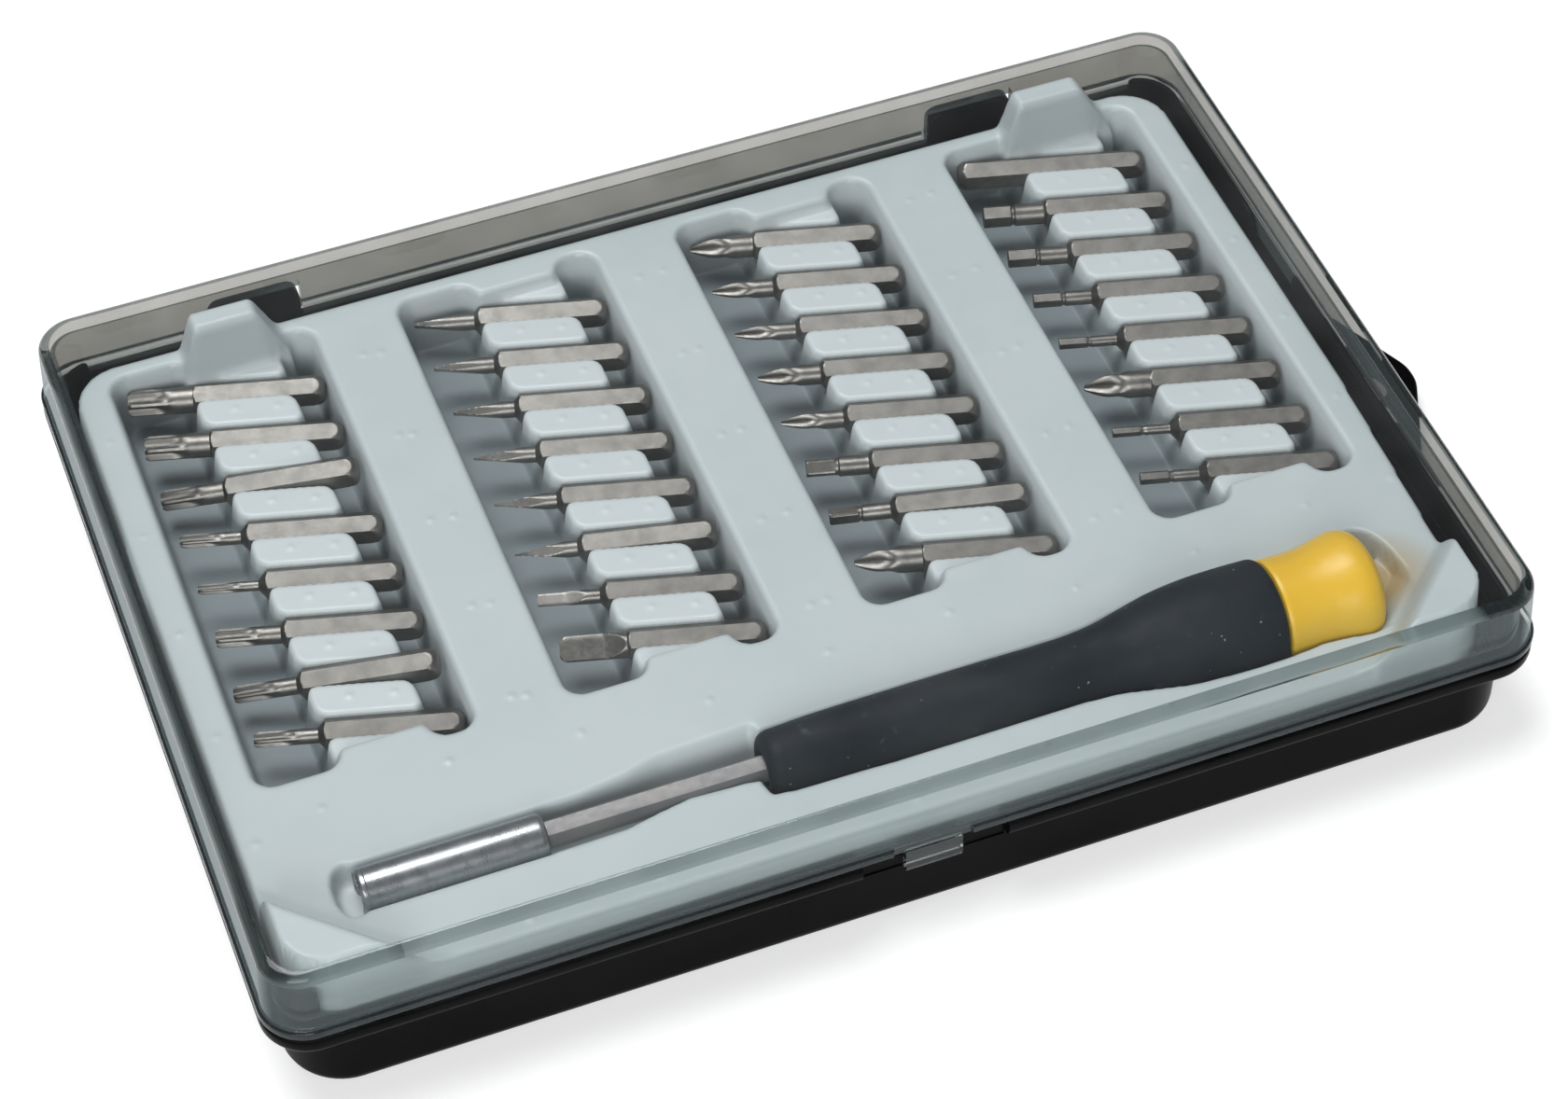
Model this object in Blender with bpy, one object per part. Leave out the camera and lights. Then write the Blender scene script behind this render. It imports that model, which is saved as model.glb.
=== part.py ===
"""Precision screwdriver set: a clear-lidded case, a formed tray, 32 bits and a driver.

Lengths are in millimetres; add_mesh turns them into metres. X runs along the case to the
right, Y to its back and Z up, from the middle of the case's underside.
"""

import math

import bpy
from mathutils import Matrix, Vector

MM = 0.001
FIT_GAP = 0.3

# Case: the plan half sizes of the lid wall at its bottom edge, and the heights that matter.
LID_HALF_X = 88.0
LID_HALF_Y = 62.1
LID_WALL = 1.5
LID_BOTTOM_Z = 14.7
CASE_TOP_Z = 26.0
LID_ROOF = 1.6
LID_CORNER = 6.0
LID_DRAFT = 0.5
BEAD_HEIGHT = 1.4
BEAD_PROUD = 0.5

RIM_HALF_X = LID_HALF_X + BEAD_PROUD
RIM_HALF_Y = LID_HALF_Y + BEAD_PROUD
RIM_TOP_Z = 14.2
RIM_UNDER_Z = 11.2
RIM_CORNER = 6.6
BODY_HALF_X = 85.7
BODY_HALF_Y = 60.8
BODY_CORNER = 8.5
BASE_WALL = 2.0
BASE_FLOOR = 1.8
LEDGE_Z = 11.3
CAVITY_HALF_X = 85.1
CAVITY_HALF_Y = 59.5

LIP_TOP_Z = 18.8
LIP_WALL = 0.8
LIP_HALF_X = 86.2
LIP_HALF_Y = 59.0
LIP_CORNER = 6.0
LIP_INNER_X = 81.0
LIP_GAP_Y = (11.0, 24.0)

# Hinge: two lugs on the base stand in notches of the lid's back wall.
HINGE_Y = 61.35
HINGE_Z = 16.6
HINGE_PIN_RADIUS = 0.7
LUG_X = (49.0, 62.2)
LUG_Y = (60.1, 62.6)
LUG_TOP_Z = 20.4
LUG_CORNER = 1.8
PIN_REACH = 2.2

# Latch: a tab on the lid hangs over a recess in the front of the rim.
LATCH_X = (-3.9, 4.0)
LATCH_BOTTOM_Z = 10.6
RECESS_X = (-9.9, 10.4)
RECESS_BOTTOM_Z = 10.2
RECESS_Y = -60.6
BEAD_GAP_X = (-5.6, 5.2)

# Hang tab: a flat plate that slides out of the right end of the base.
TAB_HALF_WIDTH = 15.0
TAB_HEAD_HALF_WIDTH = 17.0
TAB_INNER_X = 60.0
TAB_NECK_X = 82.8
TAB_SHOULDER_X = 94.8
TAB_APEX_X = 100.7
TAB_APEX_HALF_WIDTH = 1.6
TAB_Z = (2.2, 3.8)
TAB_HOLE_X = 93.0
TAB_HOLE_RADIUS = 3.5
GUIDE_X = (45.0, 80.0)
GUIDE_TOP_Z = 5.0

# Tray: one formed sheet with four bit wells, a driver pocket and four stand-off bumps.
SHEET = 0.6
TRAY_TOP_Z = 16.8
TRAY_HALF_X = 84.7
TRAY_HALF_Y = 59.0
TRAY_SKIRT_Z = LEDGE_Z + FIT_GAP
TRAY_BACK_CORNER = 8.0
TRAY_FRONT_CORNER = 7.0
TRAY_TAPER = 2.1
TRAY_TAPER_Y = -8.0
TRAY_EDGE_FILLET = 1.0
BUMP_TOP_Z = 24.1

# Bits: four columns of eight, laid at a slant, each 4 mm across its flats.
BIT_COLUMNS = 4
BIT_ROWS = 8
BIT_LENGTH = 28.0
BIT_FLATS = 4.0
BIT_SLANT = math.radians(-15.6)
BIT_AXIS_Z = 13.0
COLUMN_PITCH = 42.65
ROW_PITCH = 9.46
FIRST_COLUMN_X = -63.95
BIT_OFFSET_X = 0.65
FIRST_BIT_Y = 50.2

# Bit wells, measured from a column's centre line.
WELL_HALF_X = 14.9
TROUGH_INNER_X = (-3.4, 9.4)
TROUGH_Y = (-23.3, 56.3)
BAND_Y = (-20.3, 53.2)
RIB_TOP_Z = 14.4
SLOT_FLOOR_Z = 10.4
TROUGH_FLOOR_Z = 7.0
SLOT_HALF_WIDTH = 2.25
SLOT_OVERRUN = 1.5
TROUGH_CORNER = 1.5
MOUTH_WIDER = 0.2

# Driver: every piece is turned about one axis that runs along X.
DRIVER_Y = -43.5
DRIVER_Z = 15.85
SOCKET_X = (-71.5, -46.4)
SOCKET_RADIUS = 3.1
SHAFT_FLATS = 3.5
SHAFT_TURN = math.radians(42.0)
SHAFT_ROOM_RADIUS = SHAFT_FLATS / math.sqrt(3.0) + FIT_GAP
SHAFT_END_X = 5.0
SPIGOT_RADIUS = 1.5
SPIGOT_LENGTH = 6.0
MAGNET_RADIUS = 1.6
MAGNET_X = (-59.2, -56.2)
BIT_POCKET_DEPTH = 12.0
MAGNET_BORE_DEPTH = 5.0
GRIP_X = (-16.5, 55.8)
CORE_X = (-13.5, 55.4)
CORE_RADIUS = 3.3
CAP_X = (56.2, 71.0)
PIN_X = (45.5, 67.0)
PIN_RADIUS = 1.4

GRIP_WAIST = (27.0, 5.05)
GRIP_BULGE = (46.0, 7.85)

# Driver pocket, from the driver's axis: X range, front and back reach, and floor height.
POCKET_PARTS = (
    ((-73.2, -43.0), (-3.45, 3.45), 12.4),
    ((-46.0, -15.0), (-2.4, 6.8), 9.4),
    ((-17.3, 33.0), (-5.7, 5.7), 10.3),
    ((32.0, 73.0), (-8.75, 8.75), 7.2),
)

# Bumps: each outline corner is (x, y, radius), first at the base and then at the top.
BACK_BUMP_X = ((-67.0, -54.9, -65.6, -56.8), (60.9, 73.0, 61.6, 70.6))
BACK_BUMP_BASE_Y = (53.6, 58.3)
BACK_BUMP_TOP_Y = (53.8, 57.4)
FRONT_BUMPS = (
    (
        ((-83.4, -57.8, 2.5), (-68.0, -57.8, 2.0), (-83.4, -42.5, 2.0)),
        ((-83.0, -57.3, 2.4), (-72.0, -57.3, 1.6), (-83.0, -47.0, 1.6)),
    ),
    (
        ((68.0, -57.8, 2.0), (81.4, -57.8, 2.5), (81.4, -42.5, 2.0)),
        ((71.0, -57.3, 1.6), (81.0, -57.3, 2.4), (81.0, -47.0, 1.6)),
    ),
)

# Bit tips: radii of the star and cross tips, widths and thicknesses of the slotted blades.
STAR_RADII = (1.93, 1.8, 1.5, 0.95, 0.72, 1.3, 1.2, 1.05)
BLADES = ((2.6, 0.6), (2.2, 0.5), (1.8, 0.45), (1.5, 0.4), (1.2, 0.35), (1.0, 0.3))
THIN_BLADE = (1.6, 0.45, 1.0)
WIDE_BLADE = (3.4, 0.8, 1.75)
CROSS_RADII = (1.8, 1.35, 1.1, 1.5, 1.3)
WIDE_CROSS_RADII = (1.9, 1.95)
SQUARE_FLATS = (2.3, 1.9)
HEX_FLATS = (3.0, 2.5, 2.0, 1.5)
THIN_HEX_FLATS = (1.3, 1.6)
TIPPED_UP = {("star", 3): 7.0, ("star", 7): 7.0, ("slotted", 6): 3.0, ("square", 2): 3.5}
SHANK_END = 18.6
SHOULDER_END = 20.6

DRIVER_STEPS = 24
BORE_STEPS = 16
CORNER_STEPS = 4


def clear_scene():
    for existing in list(bpy.data.objects):
        bpy.data.objects.remove(existing, do_unlink=True)


def make_material(name, colour, roughness, metallic=0.0, transmission=0.0):
    material = bpy.data.materials.new(name)
    material.use_nodes = True
    shader = material.node_tree.nodes["Principled BSDF"]
    shader.inputs["Base Color"].default_value = (*colour, 1.0)
    shader.inputs["Roughness"].default_value = roughness
    shader.inputs["Metallic"].default_value = metallic
    shader.inputs["Transmission Weight"].default_value = transmission
    return material


def add_mesh(name, points, faces):
    mesh = bpy.data.meshes.new(name)
    mesh.from_pydata([Vector(point) * MM for point in points], [], faces)
    mesh.update()
    made = bpy.data.objects.new(name, mesh)
    bpy.context.scene.collection.objects.link(made)
    return made


def finish(made, material, smooth_angle=30.0):
    """Give a piece its material, and smooth shading up to an angle in degrees."""
    made.data.materials.clear()
    made.data.materials.append(material)
    made.data.shade_smooth()
    made.data.set_sharp_from_angle(angle=math.radians(smooth_angle))
    return made


def move_origin(made, point):
    """Put an object's origin on a point, with its shape left in place."""
    shift = Vector(point) * MM
    made.data.transform(Matrix.Translation(-shift))
    made.location = shift
    return made


def loft(name, rings):
    """Join rings of equally many points, bottom first, each anticlockwise from the far end."""
    count = len(rings[0])
    points = [point for ring in rings for point in ring]
    faces = [tuple(reversed(range(count)))]
    for level in range(len(rings) - 1):
        for step in range(count):
            here = level * count + step
            beside = level * count + (step + 1) % count
            faces.append((here, beside, beside + count, here + count))
    faces.append(tuple((len(rings) - 1) * count + step for step in range(count)))
    return add_mesh(name, points, faces)


def prism(name, outline, bottom, top):
    return loft(name, [[(x, y, z) for x, y in outline] for z in (bottom, top)])


def box(name, x_range, y_range, z_range):
    (x0, x1), (y0, y1) = x_range, y_range
    return prism(name, [(x0, y0), (x1, y0), (x1, y1), (x0, y1)], *z_range)


def rounded_polygon(corners):
    """Round each corner (x, y, radius) of an anticlockwise outline with an arc."""
    outline = []
    count = len(corners)
    for index, (x, y, radius) in enumerate(corners):
        corner = Vector((x, y))
        if radius == 0.0:
            outline.append((x, y))
            continue
        before = (Vector(corners[index - 1][:2]) - corner).normalized()
        after = (Vector(corners[(index + 1) % count][:2]) - corner).normalized()
        half_angle = before.angle(after) / 2.0
        centre = corner + (before + after).normalized() * (radius / math.sin(half_angle))
        first = corner + before * (radius / math.tan(half_angle)) - centre
        start = math.atan2(first.y, first.x)
        sweep = math.pi - 2.0 * half_angle
        for step in range(CORNER_STEPS + 1):
            angle = start + sweep * step / CORNER_STEPS
            spoke = Vector((math.cos(angle), math.sin(angle))) * radius
            outline.append(tuple(centre + spoke))
    return outline


def rounded_rectangle(half_x, half_y, radius):
    signs = ((-1, -1), (1, -1), (1, 1), (-1, 1))
    return rounded_polygon([(sx * half_x, sy * half_y, radius) for sx, sy in signs])


def stacked_rectangles(name, levels):
    """Loft rounded rectangles given as (z, half_x, half_y, corner radius), bottom first."""
    rings = []
    for z, half_x, half_y, radius in levels:
        rings.append([(x, y, z) for x, y in rounded_rectangle(half_x, half_y, radius)])
    return loft(name, rings)


def turned(name, profile, steps=DRIVER_STEPS, centre=(DRIVER_Y, DRIVER_Z)):
    """Turn a profile of (x, radius) points, left to right, about an axis along X."""
    rings = []
    for x, radius in profile:
        ring = []
        for step in range(steps):
            angle = math.tau * step / steps
            y = centre[0] + radius * math.cos(angle)
            z = centre[1] + radius * math.sin(angle)
            ring.append((x, y, z))
        rings.append(ring)
    return loft(name, rings)


def apply_boolean(target, cutter, operation):
    """Cut, join or cross a solid with another, which is used up."""
    modifier = target.modifiers.new("Boolean", "BOOLEAN")
    modifier.operation = operation
    modifier.solver = "EXACT"
    modifier.object = cutter
    graph = bpy.context.evaluated_depsgraph_get()
    mesh = bpy.data.meshes.new_from_object(target.evaluated_get(graph))
    target.modifiers.clear()
    target.data = mesh
    bpy.data.objects.remove(cutter, do_unlink=True)
    return target


def cut(target, *cutters):
    for cutter in cutters:
        apply_boolean(target, cutter, "DIFFERENCE")
    return target


def join(target, *others):
    for other in others:
        apply_boolean(target, other, "UNION")
    return target


def copy_moved(source, shift):
    twin = source.copy()
    twin.data = source.data.copy()
    twin.data.transform(Matrix.Translation(Vector(shift) * MM))
    bpy.context.scene.collection.objects.link(twin)
    return twin


# ---------------------------------------------------------------- case


def lid_inner_half(half, z):
    """Half size of the lid's inside at a height, with the wall's outward draft."""
    rise = (z - LID_BOTTOM_Z) / (CASE_TOP_Z - LID_BOTTOM_Z)
    return half - LID_WALL - LID_DRAFT * rise


def make_lip_segments():
    """The upstands of the base that stand just inside the lid's end walls."""
    outer = stacked_rectangles(
        "lip",
        [(z, LIP_HALF_X, LIP_HALF_Y, LIP_CORNER) for z in (RIM_TOP_Z - 1.0, LIP_TOP_Z)],
    )
    inner = stacked_rectangles(
        "lip_inner",
        [
            (z, LIP_HALF_X - LIP_WALL, LIP_HALF_Y - LIP_WALL, LIP_CORNER - LIP_WALL)
            for z in (RIM_TOP_Z - 2.0, LIP_TOP_Z + 1.0)
        ],
    )
    middle = box("lip_middle", (-LIP_INNER_X, LIP_INNER_X), (-70.0, 70.0), (0.0, 30.0))
    finger_gap = box("lip_gap", (-95.0, 95.0), LIP_GAP_Y, (RIM_TOP_Z + 0.1, 30.0))
    return cut(outer, inner, middle, finger_gap)


def lug_outline():
    x0, x1 = LUG_X
    return rounded_polygon(
        [(x0, RIM_TOP_Z - 1.2, 0.0), (x1, RIM_TOP_Z - 1.2, 0.0), (x1, LUG_TOP_Z, LUG_CORNER),
         (x0, LUG_TOP_Z, LUG_CORNER)]
    )


def make_lug(side):
    """A hinge lug with a hole along X, on the right (side 1) or left (side -1)."""
    outline = [(side * x, z) for x, z in lug_outline()]
    if side < 0:
        outline.reverse()
    rings = [[(x, y, z) for x, z in outline] for y in reversed(LUG_Y)]
    return loft("lug", rings)


def hinge_cylinder(name, side, x_range, radius):
    x0, x1 = sorted(side * x for x in x_range)
    return turned(name, [(x0, radius), (x1, radius)], steps=12, centre=(HINGE_Y, HINGE_Z))


def make_base(plastic):
    base = stacked_rectangles(
        "base_shell",
        [
            (0.0, BODY_HALF_X - 1.9, BODY_HALF_Y - 1.9, BODY_CORNER - 1.9),
            (0.6, BODY_HALF_X - 0.6, BODY_HALF_Y - 0.6, BODY_CORNER - 0.6),
            (2.0, BODY_HALF_X, BODY_HALF_Y, BODY_CORNER),
            (RIM_UNDER_Z, BODY_HALF_X, BODY_HALF_Y, BODY_CORNER),
            (RIM_UNDER_Z, RIM_HALF_X - 1.3, RIM_HALF_Y - 1.3, RIM_CORNER),
            (RIM_UNDER_Z + 1.2, RIM_HALF_X, RIM_HALF_Y, RIM_CORNER),
            (RIM_TOP_Z, RIM_HALF_X, RIM_HALF_Y, RIM_CORNER),
        ],
    )
    cavity = stacked_rectangles(
        "cavity",
        [
            (BASE_FLOOR, BODY_HALF_X - BASE_WALL - 0.6, BODY_HALF_Y - BASE_WALL - 0.6, 6.0),
            (BASE_FLOOR + 1.0, BODY_HALF_X - BASE_WALL, BODY_HALF_Y - BASE_WALL, 6.6),
            (LEDGE_Z, BODY_HALF_X - BASE_WALL, BODY_HALF_Y - BASE_WALL, 6.6),
            (LEDGE_Z, CAVITY_HALF_X, CAVITY_HALF_Y, 8.4),
            (RIM_TOP_Z + 2.0, CAVITY_HALF_X, CAVITY_HALF_Y, 8.4),
        ],
    )
    recess = box("recess", RECESS_X, (RECESS_Y - 5.0, RECESS_Y), (RECESS_BOTTOM_Z, RIM_TOP_Z + 2.0))
    slot_half = TAB_HALF_WIDTH + FIT_GAP
    slot = box(
        "slot",
        (TAB_NECK_X - 1.0, RIM_HALF_X + 2.0),
        (-slot_half, slot_half),
        (TAB_Z[0] - FIT_GAP, TAB_Z[1] + FIT_GAP),
    )
    cut(base, cavity, recess, slot)
    join(base, make_lip_segments())
    for side in (-1, 1):
        join(base, make_lug(side))
        bore_x = (LUG_X[0] - 1.0, LUG_X[1] + 1.0)
        cut(base, hinge_cylinder("bore", side, bore_x, HINGE_PIN_RADIUS + 0.25))
        guide_y = sorted(side * (TAB_HEAD_HALF_WIDTH + y) for y in (FIT_GAP, 1.6))
        join(base, box("guide", GUIDE_X, guide_y, (BASE_FLOOR - 0.5, GUIDE_TOP_Z)))
    return finish(base, plastic)


def make_lid(clear_plastic):
    bead_top = LID_BOTTOM_Z + BEAD_HEIGHT
    levels = []
    for z, inset, radius in (
        (LID_BOTTOM_Z, -BEAD_PROUD, LID_CORNER + BEAD_PROUD),
        (bead_top, -BEAD_PROUD, LID_CORNER + BEAD_PROUD),
        (bead_top, 0.0, LID_CORNER),
        (CASE_TOP_Z - 1.7, LID_DRAFT, LID_CORNER - 0.5),
        (CASE_TOP_Z - 0.5, LID_DRAFT + 0.5, LID_CORNER - 1.0),
        (CASE_TOP_Z, LID_DRAFT + 1.7, LID_CORNER - 2.0),
    ):
        levels.append((z, LID_HALF_X - inset, LID_HALF_Y - inset, radius))
    lid = stacked_rectangles("lid_shell", levels)
    roof_z = CASE_TOP_Z - LID_ROOF
    hollow = stacked_rectangles(
        "hollow",
        [
            (z, lid_inner_half(LID_HALF_X, z), lid_inner_half(LID_HALF_Y, z), LID_CORNER - LID_WALL)
            for z in (LID_BOTTOM_Z - 1.0, roof_z)
        ],
    )
    bead_gap = box(
        "bead_gap",
        BEAD_GAP_X,
        (-LID_HALF_Y - 3.0, -LID_HALF_Y - 0.05),
        (LID_BOTTOM_Z - 1.0, bead_top + 0.5),
    )
    cut(lid, hollow, bead_gap)
    latch = box(
        "latch",
        LATCH_X,
        (-LID_HALF_Y - 0.2, -LID_HALF_Y + 0.9),
        (LATCH_BOTTOM_Z, LID_BOTTOM_Z + 1.1),
    )
    join(lid, latch)
    for side in (-1, 1):
        notch_x = sorted(side * x for x in (LUG_X[0] - FIT_GAP, LUG_X[1] + FIT_GAP))
        notch_y = (HINGE_Y - 4.0, HINGE_Y + 4.0)
        cut(lid, box("notch", notch_x, notch_y, (LID_BOTTOM_Z - 1.0, LUG_TOP_Z + 0.5)))
        for outer_x, reach in ((LUG_X[0] - 1.2, PIN_REACH), (LUG_X[1] + 1.2, -PIN_REACH)):
            pin_x = (outer_x, outer_x + reach)
            join(lid, hinge_cylinder("pin", side, pin_x, HINGE_PIN_RADIUS))
    finish(lid, clear_plastic)
    return move_origin(lid, (0.0, HINGE_Y, HINGE_Z))


def make_hang_tab(plastic):
    apex = TAB_APEX_HALF_WIDTH
    right_side = [
        (TAB_INNER_X, -TAB_HEAD_HALF_WIDTH, 1.5),
        (TAB_NECK_X, -TAB_HEAD_HALF_WIDTH, 0.0),
        (TAB_NECK_X, -TAB_HALF_WIDTH, 0.0),
        (TAB_SHOULDER_X, -TAB_HALF_WIDTH, 1.0),
        (TAB_APEX_X, -apex, 1.4),
    ]
    left_side = [(x, -y, radius) for x, y, radius in reversed(right_side)]
    tab = prism("hang_tab", rounded_polygon(right_side + left_side), *TAB_Z)
    hole = []
    for step in range(BORE_STEPS):
        angle = math.tau * step / BORE_STEPS
        hole.append((TAB_HOLE_X + TAB_HOLE_RADIUS * math.cos(angle), TAB_HOLE_RADIUS * math.sin(angle)))
    cut(tab, prism("hole", hole, TAB_Z[0] - 1.0, TAB_Z[1] + 1.0))
    finish(tab, plastic)
    return move_origin(tab, (TAB_NECK_X, 0.0, sum(TAB_Z) / 2.0))


# ---------------------------------------------------------------- tray


def tray_outline(inset):
    """Plan outline of the tray, drawn in by an inset; its right edge tapers towards the front."""
    x = TRAY_HALF_X - inset
    y = TRAY_HALF_Y - inset
    return rounded_polygon(
        [
            (-x, -y, TRAY_FRONT_CORNER - inset),
            (x - TRAY_TAPER, -y, TRAY_FRONT_CORNER - inset),
            (x, TRAY_TAPER_Y, 0.0),
            (x, y, TRAY_BACK_CORNER - inset),
            (-x, y, TRAY_BACK_CORNER - inset),
        ]
    )


def tray_body(name, levels):
    return loft(name, [[(x, y, z) for x, y in tray_outline(inset)] for z, inset in levels])


def slot_outline(row, half_width):
    """The slanted slot of a row, which runs across the ribs into both troughs."""
    slope = math.tan(BIT_SLANT)
    half_y = half_width / math.cos(BIT_SLANT)
    centre_y = FIRST_BIT_Y - row * ROW_PITCH
    left, right = TROUGH_INNER_X[0] - SLOT_OVERRUN, TROUGH_INNER_X[1] + SLOT_OVERRUN
    ends = [(x, centre_y + (x - BIT_OFFSET_X) * slope) for x in (left, right)]
    lower = [(x, y - half_y) for x, y in ends]
    upper = [(x, y + half_y) for x, y in reversed(ends)]
    return lower + upper


def well_solid(name, grow, top):
    """One well as a solid: the space inside it, or that space grown by the sheet."""
    left, right = TROUGH_INNER_X
    edge = WELL_HALF_X + grow
    wide = grow + MOUTH_WIDER
    y0, y1 = TROUGH_Y
    band_bottom, band_top = BAND_Y
    mouth = [
        (-edge - MOUTH_WIDER, y0 - wide, TROUGH_CORNER), (left + wide, y0 - wide, 0.0),
        (left + wide, band_bottom - wide, 0.0), (right - wide, band_bottom - wide, 0.0),
        (right - wide, y0 - wide, 0.0), (edge + MOUTH_WIDER, y0 - wide, TROUGH_CORNER),
        (edge + MOUTH_WIDER, y1 + wide, TROUGH_CORNER), (right - wide, y1 + wide, 0.0),
        (right - wide, band_top + wide, 0.0), (left + wide, band_top + wide, 0.0),
        (left + wide, y1 + wide, 0.0), (-edge - MOUTH_WIDER, y1 + wide, TROUGH_CORNER),
    ]
    well = prism(name, rounded_polygon(mouth), RIB_TOP_Z - grow, top)
    for x0, x1, left_radius, right_radius in (
        (-edge, left + grow, TROUGH_CORNER, 0.0),
        (right - grow, edge, 0.0, TROUGH_CORNER),
    ):
        corners = [
            (x0, y0 - grow, left_radius), (x1, y0 - grow, right_radius),
            (x1, y1 + grow, right_radius), (x0, y1 + grow, left_radius),
        ]
        join(well, prism("trough", rounded_polygon(corners), TROUGH_FLOOR_Z - grow, top - 0.1))
    for row in range(BIT_ROWS):
        outline = slot_outline(row, SLOT_HALF_WIDTH + grow)
        join(well, prism("slot", outline, SLOT_FLOOR_Z - grow, top - 0.2))
    return well


def pocket_solids(grow, top):
    """The driver pocket's boxes as solids, grown by the sheet when grow is its thickness."""
    solids = []
    for index, (x_range, reach, floor) in enumerate(POCKET_PARTS):
        x_grown = (x_range[0] - grow, x_range[1] + grow)
        y_grown = (DRIVER_Y + reach[0] - grow, DRIVER_Y + reach[1] + grow)
        solids.append(box("pocket", x_grown, y_grown, (floor - grow, top - 0.05 * index)))
    return solids


def bump_outlines():
    """Base and top outlines of the four bumps that keep the lid off the tray."""
    outlines = list(FRONT_BUMPS)
    for x0, x1, top_x0, top_x1 in BACK_BUMP_X:
        y0, y1 = BACK_BUMP_BASE_Y
        base = [(x0, y0, 1.5), (x1, y0, 1.5), (x1, y1, 1.5), (x0, y1, 1.5)]
        y0, y1 = BACK_BUMP_TOP_Y
        top = [(top_x0, y0, 1.2), (top_x1, y0, 1.2), (top_x1, y1, 1.2), (top_x0, y1, 1.2)]
        outlines.append((base, top))
    return outlines


def shrink(corners, inset):
    """Draw an outline in towards its middle by about an inset."""
    middle_x = (min(x for x, y, r in corners) + max(x for x, y, r in corners)) / 2.0
    middle_y = (min(y for x, y, r in corners) + max(y for x, y, r in corners)) / 2.0
    moved = []
    for x, y, radius in corners:
        step_x = math.copysign(inset, middle_x - x)
        step_y = math.copysign(inset, middle_y - y)
        moved.append((x + step_x, y + step_y, max(radius - inset, 0.3)))
    return moved


def bump_solid(base, top, bottom_z, top_z):
    levels = [(base, bottom_z), (top, top_z)]
    return loft("bump", [[(x, y, z) for x, y in rounded_polygon(corners)] for corners, z in levels])


def make_tray(sheet_plastic):
    tray = tray_body(
        "tray",
        [
            (TRAY_SKIRT_Z, 0.0),
            (TRAY_TOP_Z - TRAY_EDGE_FILLET, 0.0),
            (TRAY_TOP_Z - 0.3 * TRAY_EDGE_FILLET, 0.3 * TRAY_EDGE_FILLET),
            (TRAY_TOP_Z, TRAY_EDGE_FILLET),
        ],
    )
    under = tray_body(
        "under",
        [
            (TRAY_SKIRT_Z - 1.0, SHEET),
            (TRAY_TOP_Z - SHEET - TRAY_EDGE_FILLET, SHEET),
            (TRAY_TOP_Z - SHEET, SHEET + TRAY_EDGE_FILLET),
        ],
    )
    cut(tray, under)
    grown_well = well_solid("grown_well", SHEET, TRAY_TOP_Z - 0.15)
    well_space = well_solid("well_space", 0.0, TRAY_TOP_Z + 1.0)
    centres = [FIRST_COLUMN_X + column * COLUMN_PITCH for column in range(BIT_COLUMNS)]
    for x in centres:
        join(tray, copy_moved(grown_well, (x, 0.0, 0.0)))
    join(tray, *pocket_solids(SHEET, TRAY_TOP_Z - 0.15))
    for base, top in bump_outlines():
        join(tray, bump_solid(base, top, TRAY_TOP_Z - 0.4, BUMP_TOP_Z))
        inner_z = (TRAY_TOP_Z - SHEET - 1.0, BUMP_TOP_Z - SHEET)
        cut(tray, bump_solid(shrink(base, SHEET), shrink(top, SHEET), *inner_z))
    for x in centres:
        cut(tray, copy_moved(well_space, (x, 0.0, 0.0)))
    cut(tray, *pocket_solids(0.0, TRAY_TOP_Z + 1.0))
    for spare in (grown_well, well_space):
        bpy.data.objects.remove(spare, do_unlink=True)
    return finish(tray, sheet_plastic)


# ---------------------------------------------------------------- bits


def ring_polygon(sides, flats, turn=0.0):
    """Twelve points round a regular polygon, which has a corner at the turn angle."""
    points = []
    sector = math.tau / sides
    for step in range(12):
        angle = math.tau * step / 12
        offset = (angle - turn) % sector - sector / 2.0
        radius = flats / 2.0 / math.cos(offset)
        points.append((radius * math.sin(angle), radius * math.cos(angle)))
    return points


def ring_circle(radius):
    angles = [math.tau * step / 12 for step in range(12)]
    return [(radius * math.sin(angle), radius * math.cos(angle)) for angle in angles]


def ring_star(radius):
    """Six rounded lobes."""
    points = []
    for step in range(12):
        reach = radius if step % 2 == 0 else 0.76 * radius
        angle = math.tau * step / 12
        points.append((reach * math.sin(angle), reach * math.cos(angle)))
    return points


def ring_blade(width, thickness):
    """A rounded rectangle: the width lies across the bit and the thickness stands up."""
    points = []
    for step in range(12):
        across = math.sin(math.tau * step / 12)
        up = math.cos(math.tau * step / 12)
        x = math.copysign(abs(across) ** 0.35, across) * width / 2.0
        y = math.copysign(abs(up) ** 0.35, up) * thickness / 2.0
        points.append((x, y))
    return points


def ring_cross(radius, web):
    """Four wings, each with two outer corners and a notch beside it."""
    points = []
    for quarter in range(4):
        for offset, reach in ((-0.16, radius), (0.16, radius), (math.pi / 4.0, web)):
            angle = quarter * math.pi / 2.0 + offset
            points.append((reach * math.sin(angle), reach * math.cos(angle)))
    return points


def star_tip(radius):
    neck = min(radius, 1.75)
    return [
        (SHOULDER_END, ring_circle(neck)),
        (22.4, ring_circle(neck)),
        (23.4, ring_star(radius)),
        (BIT_LENGTH - 0.4, ring_star(radius)),
        (BIT_LENGTH, ring_star(0.8 * radius)),
    ]


def slotted_tip(width, thickness, neck=1.3, turn_up=False):
    blade = ring_blade(thickness, width) if turn_up else ring_blade(width, thickness)
    return [
        (SHOULDER_END, ring_circle(neck)),
        (21.6, ring_circle(neck)),
        (BIT_LENGTH - 1.6, blade),
        (BIT_LENGTH, blade),
    ]


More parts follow.
